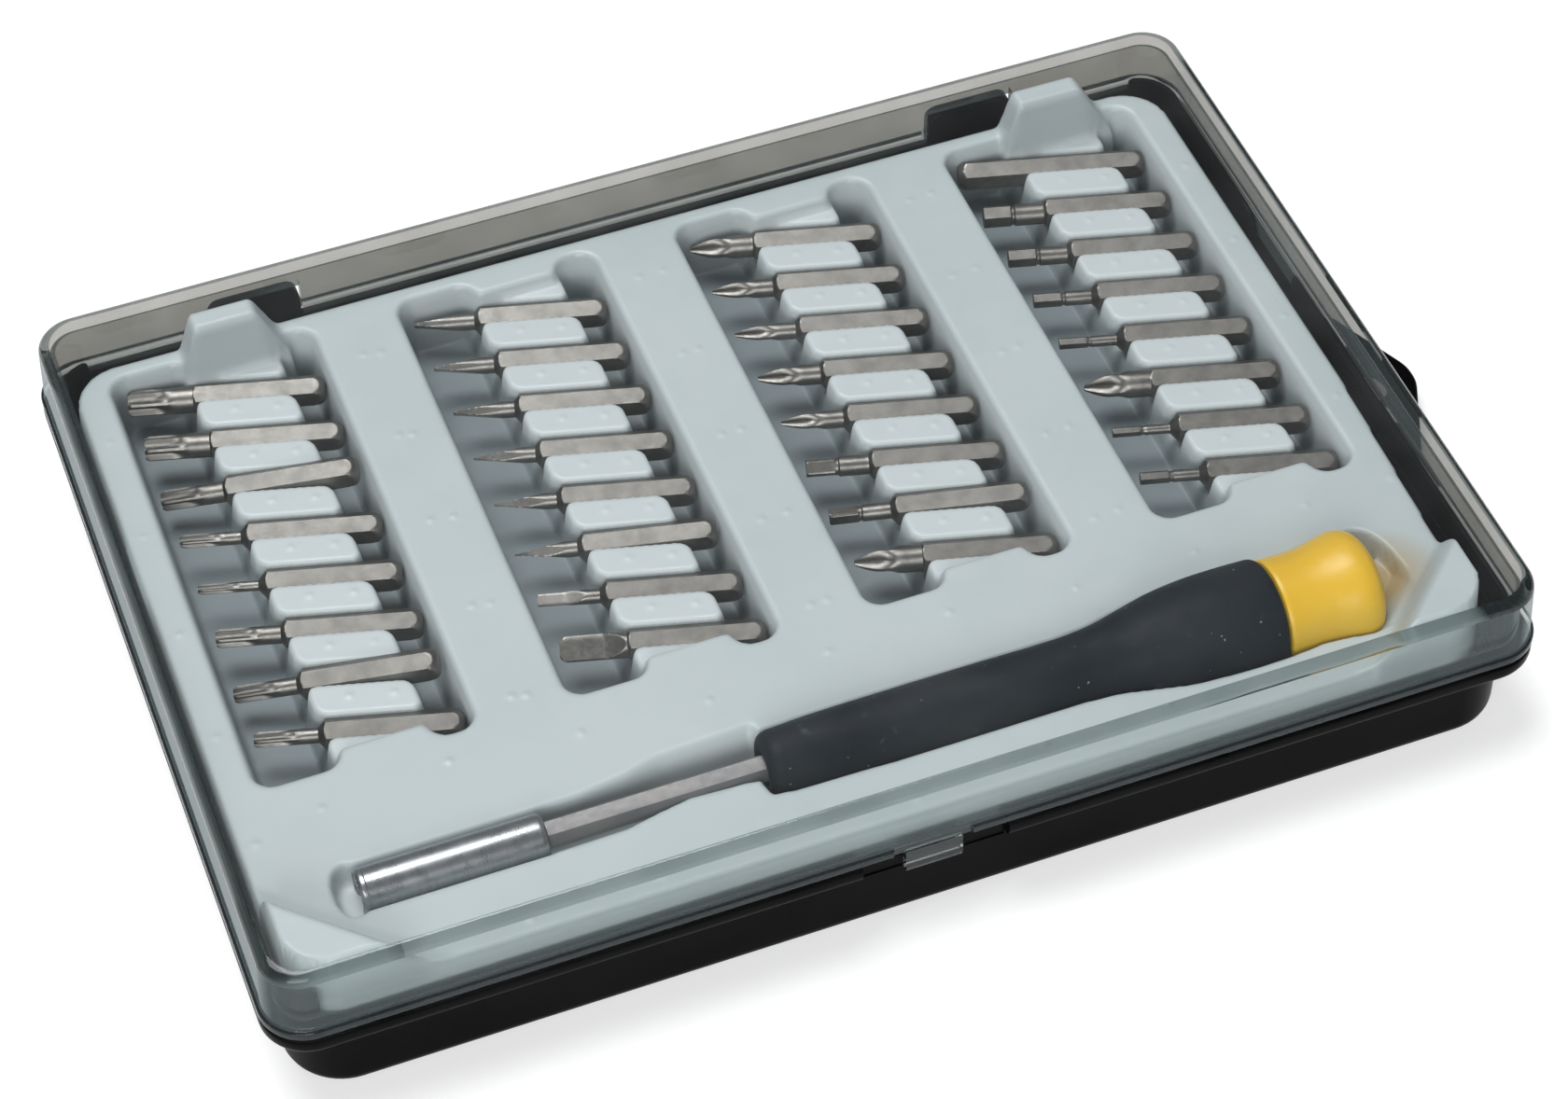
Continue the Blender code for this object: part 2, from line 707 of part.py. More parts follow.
def cross_tip(radius):
    neck = min(radius, 1.6)
    return [
        (SHOULDER_END, ring_circle(neck)),
        (22.2, ring_circle(radius)),
        (23.4, ring_cross(radius, 0.62 * radius)),
        (BIT_LENGTH - 2.0, ring_cross(0.62 * radius, 0.34 * radius)),
        (BIT_LENGTH, ring_cross(0.16 * radius, 0.1 * radius)),
    ]


def polygon_tip(sides, flats, turn=0.0):
    neck = 0.52 * flats
    return [
        (SHOULDER_END, ring_circle(neck)),
        (24.0, ring_circle(neck)),
        (24.2, ring_polygon(sides, flats, turn)),
        (BIT_LENGTH - 0.3, ring_polygon(sides, flats, turn)),
        (BIT_LENGTH, ring_polygon(sides, 0.8 * flats, turn)),
    ]


def plain_hex_tip():
    return [
        (BIT_LENGTH - 1.4, ring_polygon(6, BIT_FLATS)),
        (BIT_LENGTH, ring_circle(1.5)),
    ]


def bit_catalogue():
    """Each bit's name, tip rings and the angle that its hexagon end is tipped up by."""
    thin_blade = slotted_tip(*THIN_BLADE[:2], neck=THIN_BLADE[2])
    wide_blade = slotted_tip(*WIDE_BLADE[:2], neck=WIDE_BLADE[2])
    columns = [
        [("star", star_tip(radius)) for radius in STAR_RADII],
        [("slotted", slotted_tip(*blade, turn_up=True)) for blade in BLADES]
        + [("slotted", thin_blade), ("slotted", wide_blade)],
        [("cross", cross_tip(radius)) for radius in CROSS_RADII]
        + [
            ("square", polygon_tip(4, SQUARE_FLATS[0])),
            ("square", polygon_tip(4, SQUARE_FLATS[1], math.pi / 4.0)),
            ("cross", cross_tip(WIDE_CROSS_RADII[0])),
        ],
        [("hex", plain_hex_tip())]
        + [("hex", polygon_tip(6, flats)) for flats in HEX_FLATS]
        + [("cross", cross_tip(WIDE_CROSS_RADII[1]))]
        + [("hex", polygon_tip(6, flats)) for flats in THIN_HEX_FLATS],
    ]
    counts = {}
    catalogue = []
    for column, kinds in enumerate(columns):
        for row, (kind, tip) in enumerate(kinds):
            counts[kind] = counts.get(kind, 0) + 1
            name = f"bit_{kind}_{counts[kind]}"
            tipped = TIPPED_UP.get((kind, counts[kind]), 0.0)
            catalogue.append((name, column, row, tip, tipped))
    return catalogue


def make_bit(name, column, row, tip, tipped, steel):
    """A bit laid in its slot: hexagon end to the right, working tip over the left trough."""
    sections = [
        (0.0, ring_circle(1.3)),
        (0.9, ring_circle(1.85)),
        (2.6, ring_polygon(6, BIT_FLATS)),
    ]
    if tip[0][0] == SHOULDER_END:
        sections += [(SHANK_END, ring_polygon(6, BIT_FLATS)), (SHANK_END + 0.5, ring_circle(1.95))]
    sections += tip
    rings = [[(along, -across, up) for across, up in ring] for along, ring in sections]
    bit = loft(name, rings)
    pivot = Vector((SHANK_END - 0.8, 0.0, -BIT_FLATS / math.sqrt(3.0))) * MM
    centre = Vector((BIT_LENGTH / 2.0, 0.0, 0.0)) * MM
    tilt = Matrix.Rotation(math.radians(tipped), 4, "Y")
    tip_down = Matrix.Translation(pivot) @ tilt @ Matrix.Translation(-pivot)
    bit.data.transform(Matrix.Translation(-centre) @ tip_down)
    x = FIRST_COLUMN_X + column * COLUMN_PITCH + BIT_OFFSET_X
    y = FIRST_BIT_Y - row * ROW_PITCH
    bit.location = Vector((x, y, BIT_AXIS_Z)) * MM
    bit.rotation_euler = (0.0, 0.0, math.pi + BIT_SLANT)
    return finish(bit, steel, 20.0)


# ---------------------------------------------------------------- driver


def bore(x_range, radius):
    """A round cutter on the driver's axis."""
    return turned("room", [(x, radius) for x in x_range], BORE_STEPS)


def driver_hexagon(name, x_range, flats, turn=0.0):
    """A hexagonal prism on the driver's axis."""
    outline = ring_polygon(6, flats, turn)
    rings = [[(x, DRIVER_Y - across, DRIVER_Z + up) for across, up in outline] for x in x_range]
    return loft(name, rings)


def make_bit_socket(aluminium):
    x0, x1 = SOCKET_X
    radius = SOCKET_RADIUS
    socket = turned(
        "bit_socket",
        [(x0, radius - 0.6), (x0 + 0.5, radius), (x1 - 0.5, radius), (x1, radius - 0.5)],
    )
    pocket = driver_hexagon("pocket", (x0 - 1.0, x0 + BIT_POCKET_DEPTH), BIT_FLATS + FIT_GAP)
    magnet_room = bore((x0 + MAGNET_BORE_DEPTH, MAGNET_X[1] + FIT_GAP), MAGNET_RADIUS + FIT_GAP)
    spigot_room = bore((x1 - SPIGOT_LENGTH - 2.0 * FIT_GAP, x1 + 1.0), SPIGOT_RADIUS + FIT_GAP)
    cut(socket, pocket, magnet_room, spigot_room)
    return finish(socket, aluminium)


def make_magnet(steel):
    return finish(turned("socket_magnet", [(x, MAGNET_RADIUS) for x in MAGNET_X], BORE_STEPS), steel)


def make_shaft(steel):
    """The hexagonal shaft: a round spigot inside the socket, then the length into the handle."""
    shoulder = SOCKET_X[1] + FIT_GAP
    shaft = driver_hexagon("driver_shaft", (shoulder, SHAFT_END_X), SHAFT_FLATS, SHAFT_TURN)
    spigot_x = (SOCKET_X[1] - SPIGOT_LENGTH, shoulder + 1.0)
    join(shaft, turned("spigot", [(x, SPIGOT_RADIUS) for x in spigot_x], BORE_STEPS))
    return finish(shaft, steel)


def make_core(plastic):
    start, end = CORE_X
    core = turned(
        "driver_core",
        [(start, CORE_RADIUS - 0.4), (start + 0.5, CORE_RADIUS), (end, CORE_RADIUS)],
        steps=20,
    )
    shaft_room = bore((start - 1.0, SHAFT_END_X + FIT_GAP), SHAFT_ROOM_RADIUS)
    pin_room = bore((PIN_X[0] - FIT_GAP, end + 1.0), PIN_RADIUS + FIT_GAP)
    cut(core, shaft_room, pin_room)
    return finish(core, plastic)


def blend(start, end, share):
    """Ease from one value to another along a smooth S curve."""
    return start + (end - start) * (3.0 * share ** 2 - 2.0 * share ** 3)


def grip_profile():
    """Slim front, a faint waist, then an S curve up to the bulge behind the palm."""
    nose, end = GRIP_X
    waist_x, waist = GRIP_WAIST
    bulge_x, bulge = GRIP_BULGE
    profile = [(nose, 3.4), (nose + 0.5, 4.3), (nose + 1.6, 4.75), (0.0, 5.1), (waist_x, waist)]
    for step in range(1, 9):
        share = step / 8.0
        profile.append((waist_x + (bulge_x - waist_x) * share, blend(waist, bulge, share)))
    profile += [(bulge_x + 5.0, bulge + 0.1), (end - 0.3, bulge - 0.05), (end, bulge - 0.45)]
    return profile


def make_grip(rubber):
    grip = turned("driver_grip", grip_profile())
    core_room = bore((CORE_X[0] - FIT_GAP, GRIP_X[1] + 1.0), CORE_RADIUS + FIT_GAP)
    nose_room = bore((GRIP_X[0] - 1.0, CORE_X[0]), SHAFT_ROOM_RADIUS)
    cut(grip, core_room, nose_room)
    return finish(grip, rubber)


def make_swivel_pin(steel):
    return finish(turned("swivel_pin", [(x, PIN_RADIUS) for x in PIN_X], BORE_STEPS), steel)


def cap_profile():
    """Waisted front, a flare and a domed end."""
    x0, x1 = CAP_X
    return [
        (x0, 7.0), (x0 + 0.4, 7.35), (x0 + 4.0, 7.25), (x0 + 6.5, 7.35),
        (x0 + 9.0, 7.85), (x0 + 11.3, 8.25),
        (x1 - 2.6, 8.0), (x1 - 1.2, 7.1), (x1 - 0.3, 5.2), (x1, 2.5),
    ]


def make_swivel_cap(plastic):
    cap = turned("swivel_cap", cap_profile())
    cut(cap, bore((CAP_X[0] - 1.0, PIN_X[1] + FIT_GAP), PIN_RADIUS + FIT_GAP))
    finish(cap, plastic)
    return move_origin(cap, (CAP_X[0], DRIVER_Y, DRIVER_Z))


def main():
    clear_scene()
    black_plastic = make_material("black_plastic", (0.010, 0.010, 0.011), 0.35)
    clear_plastic = make_material("clear_plastic", (0.80, 0.84, 0.84), 0.08, transmission=1.0)
    sheet_plastic = make_material("white_sheet", (0.62, 0.68, 0.70), 0.45)
    steel = make_material("bit_steel", (0.38, 0.35, 0.32), 0.38, metallic=1.0)
    aluminium = make_material("aluminium", (0.62, 0.65, 0.68), 0.25, metallic=1.0)
    rubber = make_material("black_rubber", (0.022, 0.028, 0.034), 0.65)
    yellow_plastic = make_material("yellow_plastic", (0.80, 0.44, 0.04), 0.35)

    make_base(black_plastic)
    make_lid(clear_plastic)
    make_hang_tab(black_plastic)
    make_tray(sheet_plastic)
    for name, column, row, tip, tipped in bit_catalogue():
        make_bit(name, column, row, tip, tipped, steel)
    make_bit_socket(aluminium)
    make_magnet(steel)
    make_shaft(steel)
    make_core(black_plastic)
    make_grip(rubber)
    make_swivel_pin(steel)
    make_swivel_cap(yellow_plastic)


main()
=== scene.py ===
"""Looks of the precision screwdriver set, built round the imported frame.

Pieces are worked out in millimetres in the frame's axes, and solid() turns them into metres.
The floor and the lamps are placed in metres.
"""

import math

import bmesh
import bpy
import numpy as np
from mathutils import Matrix, Vector

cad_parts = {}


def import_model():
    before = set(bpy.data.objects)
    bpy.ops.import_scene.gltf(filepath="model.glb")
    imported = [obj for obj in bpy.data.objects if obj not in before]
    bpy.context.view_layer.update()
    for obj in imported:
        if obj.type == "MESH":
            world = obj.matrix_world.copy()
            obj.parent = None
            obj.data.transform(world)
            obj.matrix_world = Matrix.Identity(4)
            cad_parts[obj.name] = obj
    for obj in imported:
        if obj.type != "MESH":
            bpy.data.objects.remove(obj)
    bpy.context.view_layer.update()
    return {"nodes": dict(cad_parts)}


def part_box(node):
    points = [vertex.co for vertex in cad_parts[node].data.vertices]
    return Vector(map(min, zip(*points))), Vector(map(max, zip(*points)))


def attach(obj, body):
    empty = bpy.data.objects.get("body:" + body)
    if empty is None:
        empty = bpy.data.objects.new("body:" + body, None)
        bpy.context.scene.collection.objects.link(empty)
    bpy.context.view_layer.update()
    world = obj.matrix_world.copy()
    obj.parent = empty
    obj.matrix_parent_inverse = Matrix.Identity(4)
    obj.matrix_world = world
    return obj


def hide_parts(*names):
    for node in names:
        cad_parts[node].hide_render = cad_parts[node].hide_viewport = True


MM = 0.001

# Camera: where it looks from and at, in degrees and millimetres.
VIEW_AZIMUTH = -19.6
VIEW_ELEVATION = 48.37
VIEW_ROLL = -1.485
VIEW_DISTANCE = 542.8
VIEW_TARGET = (-0.17, -8.08, 15.0)
VIEW_LENS = 90.99

# Case.
WALL = 1.5
ROOF = 1.6
LID_CORNER = 6.0
LID_DRAFT = 0.5
BEAD_PROUD = 0.5
BEAD_HEIGHT = 1.4
BEAD_GAP_X = (-5.6, 5.2)
EDGE_BAND = 1.45
FRONT_WALL_Y = (-61.2, -57.5)
LATCH_X = (-3.9, 4.0)
LATCH_BOTTOM = 10.6
RECESS_X = (-9.9, 10.4)
RECESS_DEPTH = 2.0
RECESS_BOTTOM = 10.2
RIM_TOP = 14.2
RIM_UNDER = 11.2
RIM_CORNER = 6.6
BODY_INSET = (2.8, 1.8)
BODY_CORNER = 8.5
LIP_HALF = (86.2, 59.0)
LIP_CORNER = 6.0
LIP_WALL = 0.8
LIP_TOP = 18.8
LIP_START_X = 81.0
LIP_GAP_Y = (11.0, 24.0)
HINGE_Y = 61.35
HINGE_Z = 16.6
LUG_X = (49.0, 62.2)
LUG_TOP = 20.4
TAB_START = 60.0
TAB_STOP_X = 82.8
TAB_STOP_HALF = 17.0
TAB_HALF = 15.0
TAB_SHOULDER_X = 94.8
TAB_END = 100.7
HOOK_X = 93.0
HOOK_RADIUS = 3.5
CORNER_STEPS = 14

# Tray.
TRAY_TOP = 16.8
TRAY_CORNER = 7.5
TRAY_TAPER = 2.1
TRAY_TAPER_Y = -8.0
GRID_STEP = 0.35
TRAY_KEEP = 0.58
COLUMN_X = (-63.95, -21.30, 21.35, 64.00)
ROWS = 8
ROW_PITCH = 9.46
FIRST_ROW_Y = 50.2
BIT_OFFSET_X = 0.65
SLANT = math.radians(-15.6)
WELL_HALF_X = 14.9
RIB_X = (-4.5, 9.9)
TROUGH_Y = (-23.3, 55.6)
BAND_Y = (-20.3, 52.9)
TROUGH_FLOOR = 7.0
SLOT_FLOOR = 10.4
ROOM_FLOOR = 9.6
RIB_TOP = 14.85
SLOT_HALF = 1.75
# Below these heights the tray is painted lighter, as painted light on the ribs.
PAINTED_LIGHT_Z = (15.2, 16.2)
# Between these heights the wells are painted darker with depth, as painted shade.
SHADE_DEPTH_Z = (6.8, 14.4)
# Centre and reach of the yellow light painted on the dish beside the cap, as bounced from it.
CAP_BOUNCE_CENTRE = (73.5, -43.5, 13.0)
CAP_BOUNCE_REACH = (3.0, 9.0)

# Bits: distances run from the hexagon's end to the tip.
BIT_FLATS = 4.0
BIT_LENGTH = 28.0
SHOULDER = 18.3
SHOULDER_SLOPE = 1.15
TIP_START = 21.0
BIT_ROLL = math.radians(6.0)
BIT_TURNS = 60
DOME_LENGTH = 2.3
DOME_RADII = (1.15, 2.36)

# Driver.
DRIVER_TURNS = 96
SHAFT_FLATS = 3.5
SHAFT_TURN = math.radians(42.0)


# ---------------------------------------------------------------- mesh helpers


def put(name, data):
    """Put an object with its data into the scene."""
    item = bpy.data.objects.new(name, data)
    bpy.context.scene.collection.objects.link(item)
    return item


def solid(name, points, faces):
    """Put in a mesh whose points are in millimetres."""
    mesh = bpy.data.meshes.new(name)
    mesh.from_pydata([tuple(value * MM for value in point) for point in points], [], faces)
    mesh.update()
    return put(name, mesh)


def add_piece(name, points, faces, material, body, sharp_degrees=30.0):
    """Make a piece with outward faces that rides on a body."""
    piece = solid(name, points, faces)
    piece.data.materials.append(material)
    fix_normals(piece)
    shade(piece, sharp_degrees)
    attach(piece, body)
    return piece


def fix_normals(piece):
    work = bmesh.new()
    work.from_mesh(piece.data)
    bmesh.ops.recalc_face_normals(work, faces=work.faces)
    work.to_mesh(piece.data)
    work.free()


def shade(piece, sharp_degrees):
    piece.data.shade_smooth()
    piece.data.set_sharp_from_angle(angle=math.radians(sharp_degrees))


def weigh_normals(piece):
    """Let the large faces set the normals, so that flat walls stay flat beside their rounded edges."""
    modifier = piece.modifiers.new("Weigh", "WEIGHTED_NORMAL")
    modifier.keep_sharp = True
    modifier.weight = 100
    apply_modifier(piece)


def apply_modifier(piece):
    graph = bpy.context.evaluated_depsgraph_get()
    result = bpy.data.meshes.new_from_object(piece.evaluated_get(graph))
    piece.modifiers.clear()
    piece.data = result


def loft_faces(ring_count, ring_size):
    """Faces of a closed loft: quads between rings and a cap at each end."""
    faces = [tuple(reversed(range(ring_size)))]
    for level in range(ring_count - 1):
        for step in range(ring_size):
            here = level * ring_size + step
            beside = level * ring_size + (step + 1) % ring_size
            faces.append((here, beside, beside + ring_size, here + ring_size))
    last = (ring_count - 1) * ring_size
    faces.append(tuple(last + step for step in range(ring_size)))
    return faces


def loft(rings):
    """Points and faces of a closed loft through rings of equal size."""
    points = [point for ring in rings for point in ring]
    return points, loft_faces(len(rings), len(rings[0]))


def loft_piece(name, rings, material, body, sharp_degrees=30.0):
    return add_piece(name, *loft(rings), material, body, sharp_degrees)


def rounded_outline(half_x, half_y, radius, front_x=()):
    """An anticlockwise rounded rectangle, with extra points on its front edge at given places."""
    outline = []
    corners = ((-1, -1, 180.0), (1, -1, 270.0), (1, 1, 0.0), (-1, 1, 90.0))
    for sign_x, sign_y, start in corners:
        centre_x = sign_x * (half_x - radius)
        centre_y = sign_y * (half_y - radius)
        for step in range(CORNER_STEPS + 1):
            angle = math.radians(start + 90.0 * step / CORNER_STEPS)
            outline.append((centre_x + radius * math.cos(angle), centre_y + radius * math.sin(angle)))
        if (sign_x, sign_y) == (-1, -1):
            outline += [(x, -half_y) for x in front_x]
    return outline


def arc_profile(radius, steps=5):
    """Inset and drop of a quarter round, from its upright end to its flat end."""
    pairs = []
    for step in range(steps + 1):
        angle = math.radians(90.0 * step / steps)
        pairs.append((radius * (1.0 - math.cos(angle)), radius * (1.0 - math.sin(angle))))
    return pairs


def cut(piece, rings):
    """Cut a closed loft out of a piece."""
    cutter = solid("cutter", *loft(rings))
    fix_normals(cutter)
    modifier = piece.modifiers.new("Cut", "BOOLEAN")
    modifier.operation = "DIFFERENCE"
    modifier.solver = "EXACT"
    modifier.object = cutter
    apply_modifier(piece)
    bpy.data.objects.remove(cutter, do_unlink=True)


def thin_out(piece, share):
    """Collapse edges, flat places first, until a share of the triangles is left."""
    modifier = piece.modifiers.new("Thin", "DECIMATE")
    modifier.ratio = share
    apply_modifier(piece)


def cut_box(piece, x_range, y_range, z_range):
    corners = [(x, y_range[0]) for x in x_range] + [(x, y_range[1]) for x in reversed(x_range)]
    cut(piece, [[(x, y, z) for x, y in corners] for z in z_range])


def around(x, centre, reach, angle):
    """A point about an axis along X; centre is (y, z), and the angle runs from straight up."""
    return (x, centre[0] - reach * math.sin(angle), centre[1] + reach * math.cos(angle))


def circle_rings(profile, centre, turns):
    """Rings about an axis along X for (x, radius) pairs."""
    angles = [math.tau * step / turns for step in range(turns)]
    return [[around(x, centre, radius, angle) for angle in angles] for x, radius in profile]


def smooth_curve(points, steps):
    """A smooth run of (x, value) pairs through given pairs, by cubic pieces."""
    xs, ys = np.array(points, float).T
    slopes = np.gradient(ys, xs)
    fine = []
    for index in range(len(xs) - 1):
        width = xs[index + 1] - xs[index]
        for share in np.linspace(0.0, 1.0, steps, endpoint=False):
            start = 2 * share ** 3 - 3 * share ** 2 + 1
            value = start * ys[index] + (1.0 - start) * ys[index + 1]
            value += (share ** 3 - 2 * share ** 2 + share) * width * slopes[index]
            value += (share ** 3 - share ** 2) * width * slopes[index + 1]
            fine.append((xs[index] + share * width, value))
    fine.append((xs[-1], ys[-1]))
    return fine


# ---------------------------------------------------------------- materials


def feed(tree, node, values):
    """Give a node's inputs their values or links; a colour leaves out its alpha."""
    for name, value in values.items():
        socket = node.inputs[name]
        if isinstance(value, bpy.types.NodeSocket):
            tree.links.new(value, socket)
        elif socket.type == "RGBA":
            socket.default_value = (*value, 1.0)
        else:
            socket.default_value = value


def add_node(tree, kind, values, output=0):
    """Add a node, feed it and return one of its outputs."""
    node = tree.nodes.new("ShaderNode" + kind)
    feed(tree, node, values)
    return node.outputs[output]


def new_material(name, colour, roughness, metallic=0.0):
    material = bpy.data.materials.new(name)
    material.use_nodes = True
    tree = material.node_tree
    shader = tree.nodes["Principled BSDF"]
    feed(tree, shader, {"Base Color": colour, "Roughness": roughness, "Metallic": metallic})
    return material, tree, shader


def noise(tree, scale, detail, stretch=(1.0, 1.0, 1.0)):
    """Noise over the object's own coordinates, whose scale is per metre."""
    place = add_node(tree, "TexCoord", {}, "Object")
    stretched = add_node(tree, "Mapping", {"Vector": place, "Scale": stretch})
    return add_node(tree, "TexNoise", {"Vector": stretched, "Scale": scale, "Detail": detail}, "Fac")


def spread(tree, value, low, high, out_low=0.0, out_high=1.0):
    """Map a value's range onto another."""
    ranges = {"From Min": low, "From Max": high, "To Min": out_low, "To Max": out_high}
    return add_node(tree, "MapRange", {"Value": value, **ranges})


def patches(tree, scale, detail, *ranges, stretch=(1.0, 1.0, 1.0)):
    """Noise with a part of its range mapped onto another."""
    return spread(tree, noise(tree, scale, detail, stretch), *ranges)


def own_place(tree):
    """The object's own coordinates in metres, whole and split into axes."""
    place = add_node(tree, "TexCoord", {}, "Object")
    axes = tree.nodes.new("ShaderNodeSeparateXYZ")
    feed(tree, axes, {"Vector": place})
    return place, axes.outputs


def distance_from(tree, place, centre):
    """Distance in metres from a centre that is given in millimetres."""
    node = tree.nodes.new("ShaderNodeVectorMath")
    node.operation = "DISTANCE"
    feed(tree, node, {0: place, 1: [value * MM for value in centre]})
    return node.outputs["Value"]


def mix_colours(tree, share, first, second):
    node = tree.nodes.new("ShaderNodeMix")
    node.data_type = "RGBA"
    feed(tree, node, {"Factor": share, "A": first, "B": second})
    return node.outputs["Result"]


def mix_shaders(tree, share, first, second):
    return add_node(tree, "MixShader", {"Fac": share, 1: first, 2: second})


def grained(name, colours, cloud, sheen, bump, metallic=0.0, stretch=(1.0, 1.0, 1.0)):
    """A material with a cloudy colour, an uneven roughness and a fine bump.

    cloud is a noise's scale and detail and the range of it that is used, sheen is the same and
    two roughnesses, and bump is a scale, a detail, a strength and a distance in metres.
    """
    material, tree, shader = new_material(name, colours[0], sheen[-1], metallic)
    relief = {"Height": noise(tree, *bump[:2]), "Strength": bump[2], "Distance": bump[3]}
    feed(tree, shader, {
        "Base Color": mix_colours(tree, patches(tree, *cloud, stretch=stretch), *colours),
        "Roughness": patches(tree, *sheen),
        "Normal": add_node(tree, "Bump", relief),
    })
    return material, tree, shader


def lay_over(tree, shader, share, colour):
    """Lay a colour over the base colour as it is so far."""
    so_far = shader.inputs["Base Color"].links[0].from_socket
    feed(tree, shader, {"Base Color": mix_colours(tree, share, so_far, colour)})


def let_lamps_through(tree, surface, tint):
    """Show a surface as it is, but let lamps shine through it without bending, in a tint."""
    lamp_tint = add_node(tree, "BsdfTransparent", {"Color": tint})
    lit = mix_shaders(tree, add_node(tree, "LightPath", {}, "Is Shadow Ray"), surface, lamp_tint)
    feed(tree, tree.nodes["Material Output"], {"Surface": lit})


def black_plastic():
    """Moulded black plastic: deep, slightly glossy, with a fine grain and faint handling marks."""
    material, tree, shader = grained(
        "case_black", ((0.0015, 0.0015, 0.0017), (0.0035, 0.0035, 0.004)), (60.0, 4.0, 0.35, 0.7),
        (60.0, 4.0, 0.35, 0.7, 0.26, 0.38), (2600.0, 1.0, 0.15, 0.00004))
    feed(tree, shader, {"Specular IOR Level": 0.03})
    return material


def white_sheet():
    """Formed white sheet, satin and cool.

    Below the flat top the sheet is painted lighter, as painted light, so that the ribs are a little
    lighter than the flat top. The walls and floors of the wells darken with depth as painted shade,
    and a yellow patch on the dish beside the cap is painted light bounced from the cap.
    """
    material, tree, shader = grained(
        "tray_white", ((0.425, 0.487, 0.497), (0.455, 0.515, 0.525)), (45.0, 3.0, 0.3, 0.7),
        (220.0, 2.0, 0.3, 0.7, 0.34, 0.5), (160.0, 2.0, 0.25, 0.0002))
    place, axes = own_place(tree)
    # Painted light: everything below the flat top, the ribs among it, is painted lighter.
    low = spread(tree, axes["Z"], PAINTED_LIGHT_Z[0] * MM, PAINTED_LIGHT_Z[1] * MM, 1.0, 0.0)
    lay_over(tree, shader, low, (0.50, 0.555, 0.565))
    # Painted shade: the wells' walls and floors are painted darker with depth.
    depth_shade = spread(tree, axes["Z"], SHADE_DEPTH_Z[0] * MM, SHADE_DEPTH_Z[1] * MM, 0.88, 0.0)
    lay_over(tree, shader, depth_shade, (0.125, 0.16, 0.177))
    # Painted light: a yellow patch on the dish beside the cap, for light bounced from the cap.
    from_cap = distance_from(tree, place, CAP_BOUNCE_CENTRE)
    cap_bounce_light = spread(tree, from_cap, CAP_BOUNCE_REACH[0] * MM, CAP_BOUNCE_REACH[1] * MM, 0.85, 0.0)
    lay_over(tree, shader, cap_bounce_light, (0.34, 0.235, 0.075))
    lay_over(tree, shader, patches(tree, 700.0, 2.0, 0.78, 0.82, 0.0, 0.5), (0.28, 0.30, 0.30))
    return material


def tool_steel():
    """Satin steel with a fine grain, darker in its stains."""
    return grained(
        "bit_satin", ((0.205, 0.20, 0.185), (0.15, 0.146, 0.136)), (420.0, 3.0, 0.35, 0.7),
        (1600.0, 2.0, 0.3, 0.7, 0.34, 0.46), (5200.0, 1.0, 0.35, 0.00003), metallic=1.0)[0]


def bare_aluminium():
    """Turned aluminium with fine rings and scattered nicks."""
    return grained(
        "sleeve_bright", ((0.32, 0.34, 0.36), (0.38, 0.395, 0.405)), (1500.0, 2.0, 0.3, 0.7),
        (500.0, 3.0, 0.3, 0.75, 0.24, 0.36), (900.0, 3.0, 0.12, 0.00006), metallic=1.0,
        stretch=(3.0, 0.15, 0.15))[0]


def shaft_steel():
    """Grey blasted steel."""
    return grained(
        "shaft_grey", ((0.19, 0.19, 0.195), (0.235, 0.23, 0.225)), (260.0, 3.0, 0.3, 0.7),
        (900.0, 2.0, 0.3, 0.7, 0.44, 0.58), (4200.0, 1.0, 0.3, 0.00003), metallic=0.85)[0]


def soft_rubber():
    """Dark blue-grey rubber with a fine grain, pale dust and small scuffs."""
    material, tree, shader = grained(
        "grip_rubber", ((0.005, 0.009, 0.013), (0.009, 0.014, 0.019)), (120.0, 4.0, 0.35, 0.75),
        (260.0, 3.0, 0.3, 0.7, 0.5, 0.66), (3800.0, 2.0, 0.4, 0.00005))
    feed(tree, shader, {"Specular IOR Level": 0.14})
    lay_over(tree, shader, patches(tree, 330.0, 4.0, 0.66, 0.78, 0.0, 0.35), (0.10, 0.11, 0.11))
    lay_over(tree, shader, patches(tree, 1500.0, 1.0, 0.77, 0.80, 0.0, 0.7), (0.30, 0.32, 0.31))
    return material


def cap_yellow():
    """Warm yellow plastic, softly glossy, a little translucent."""
    material, tree, shader = grained(
        "cap_yellow", ((0.69, 0.425, 0.022), (0.73, 0.46, 0.034)), (90.0, 3.0, 0.3, 0.7),
        (400.0, 2.0, 0.3, 0.7, 0.32, 0.42), (1800.0, 2.0, 0.12, 0.00004))
    feed(tree, shader, {"Subsurface Weight": 0.15, "Subsurface Scale": 0.001})
    return material


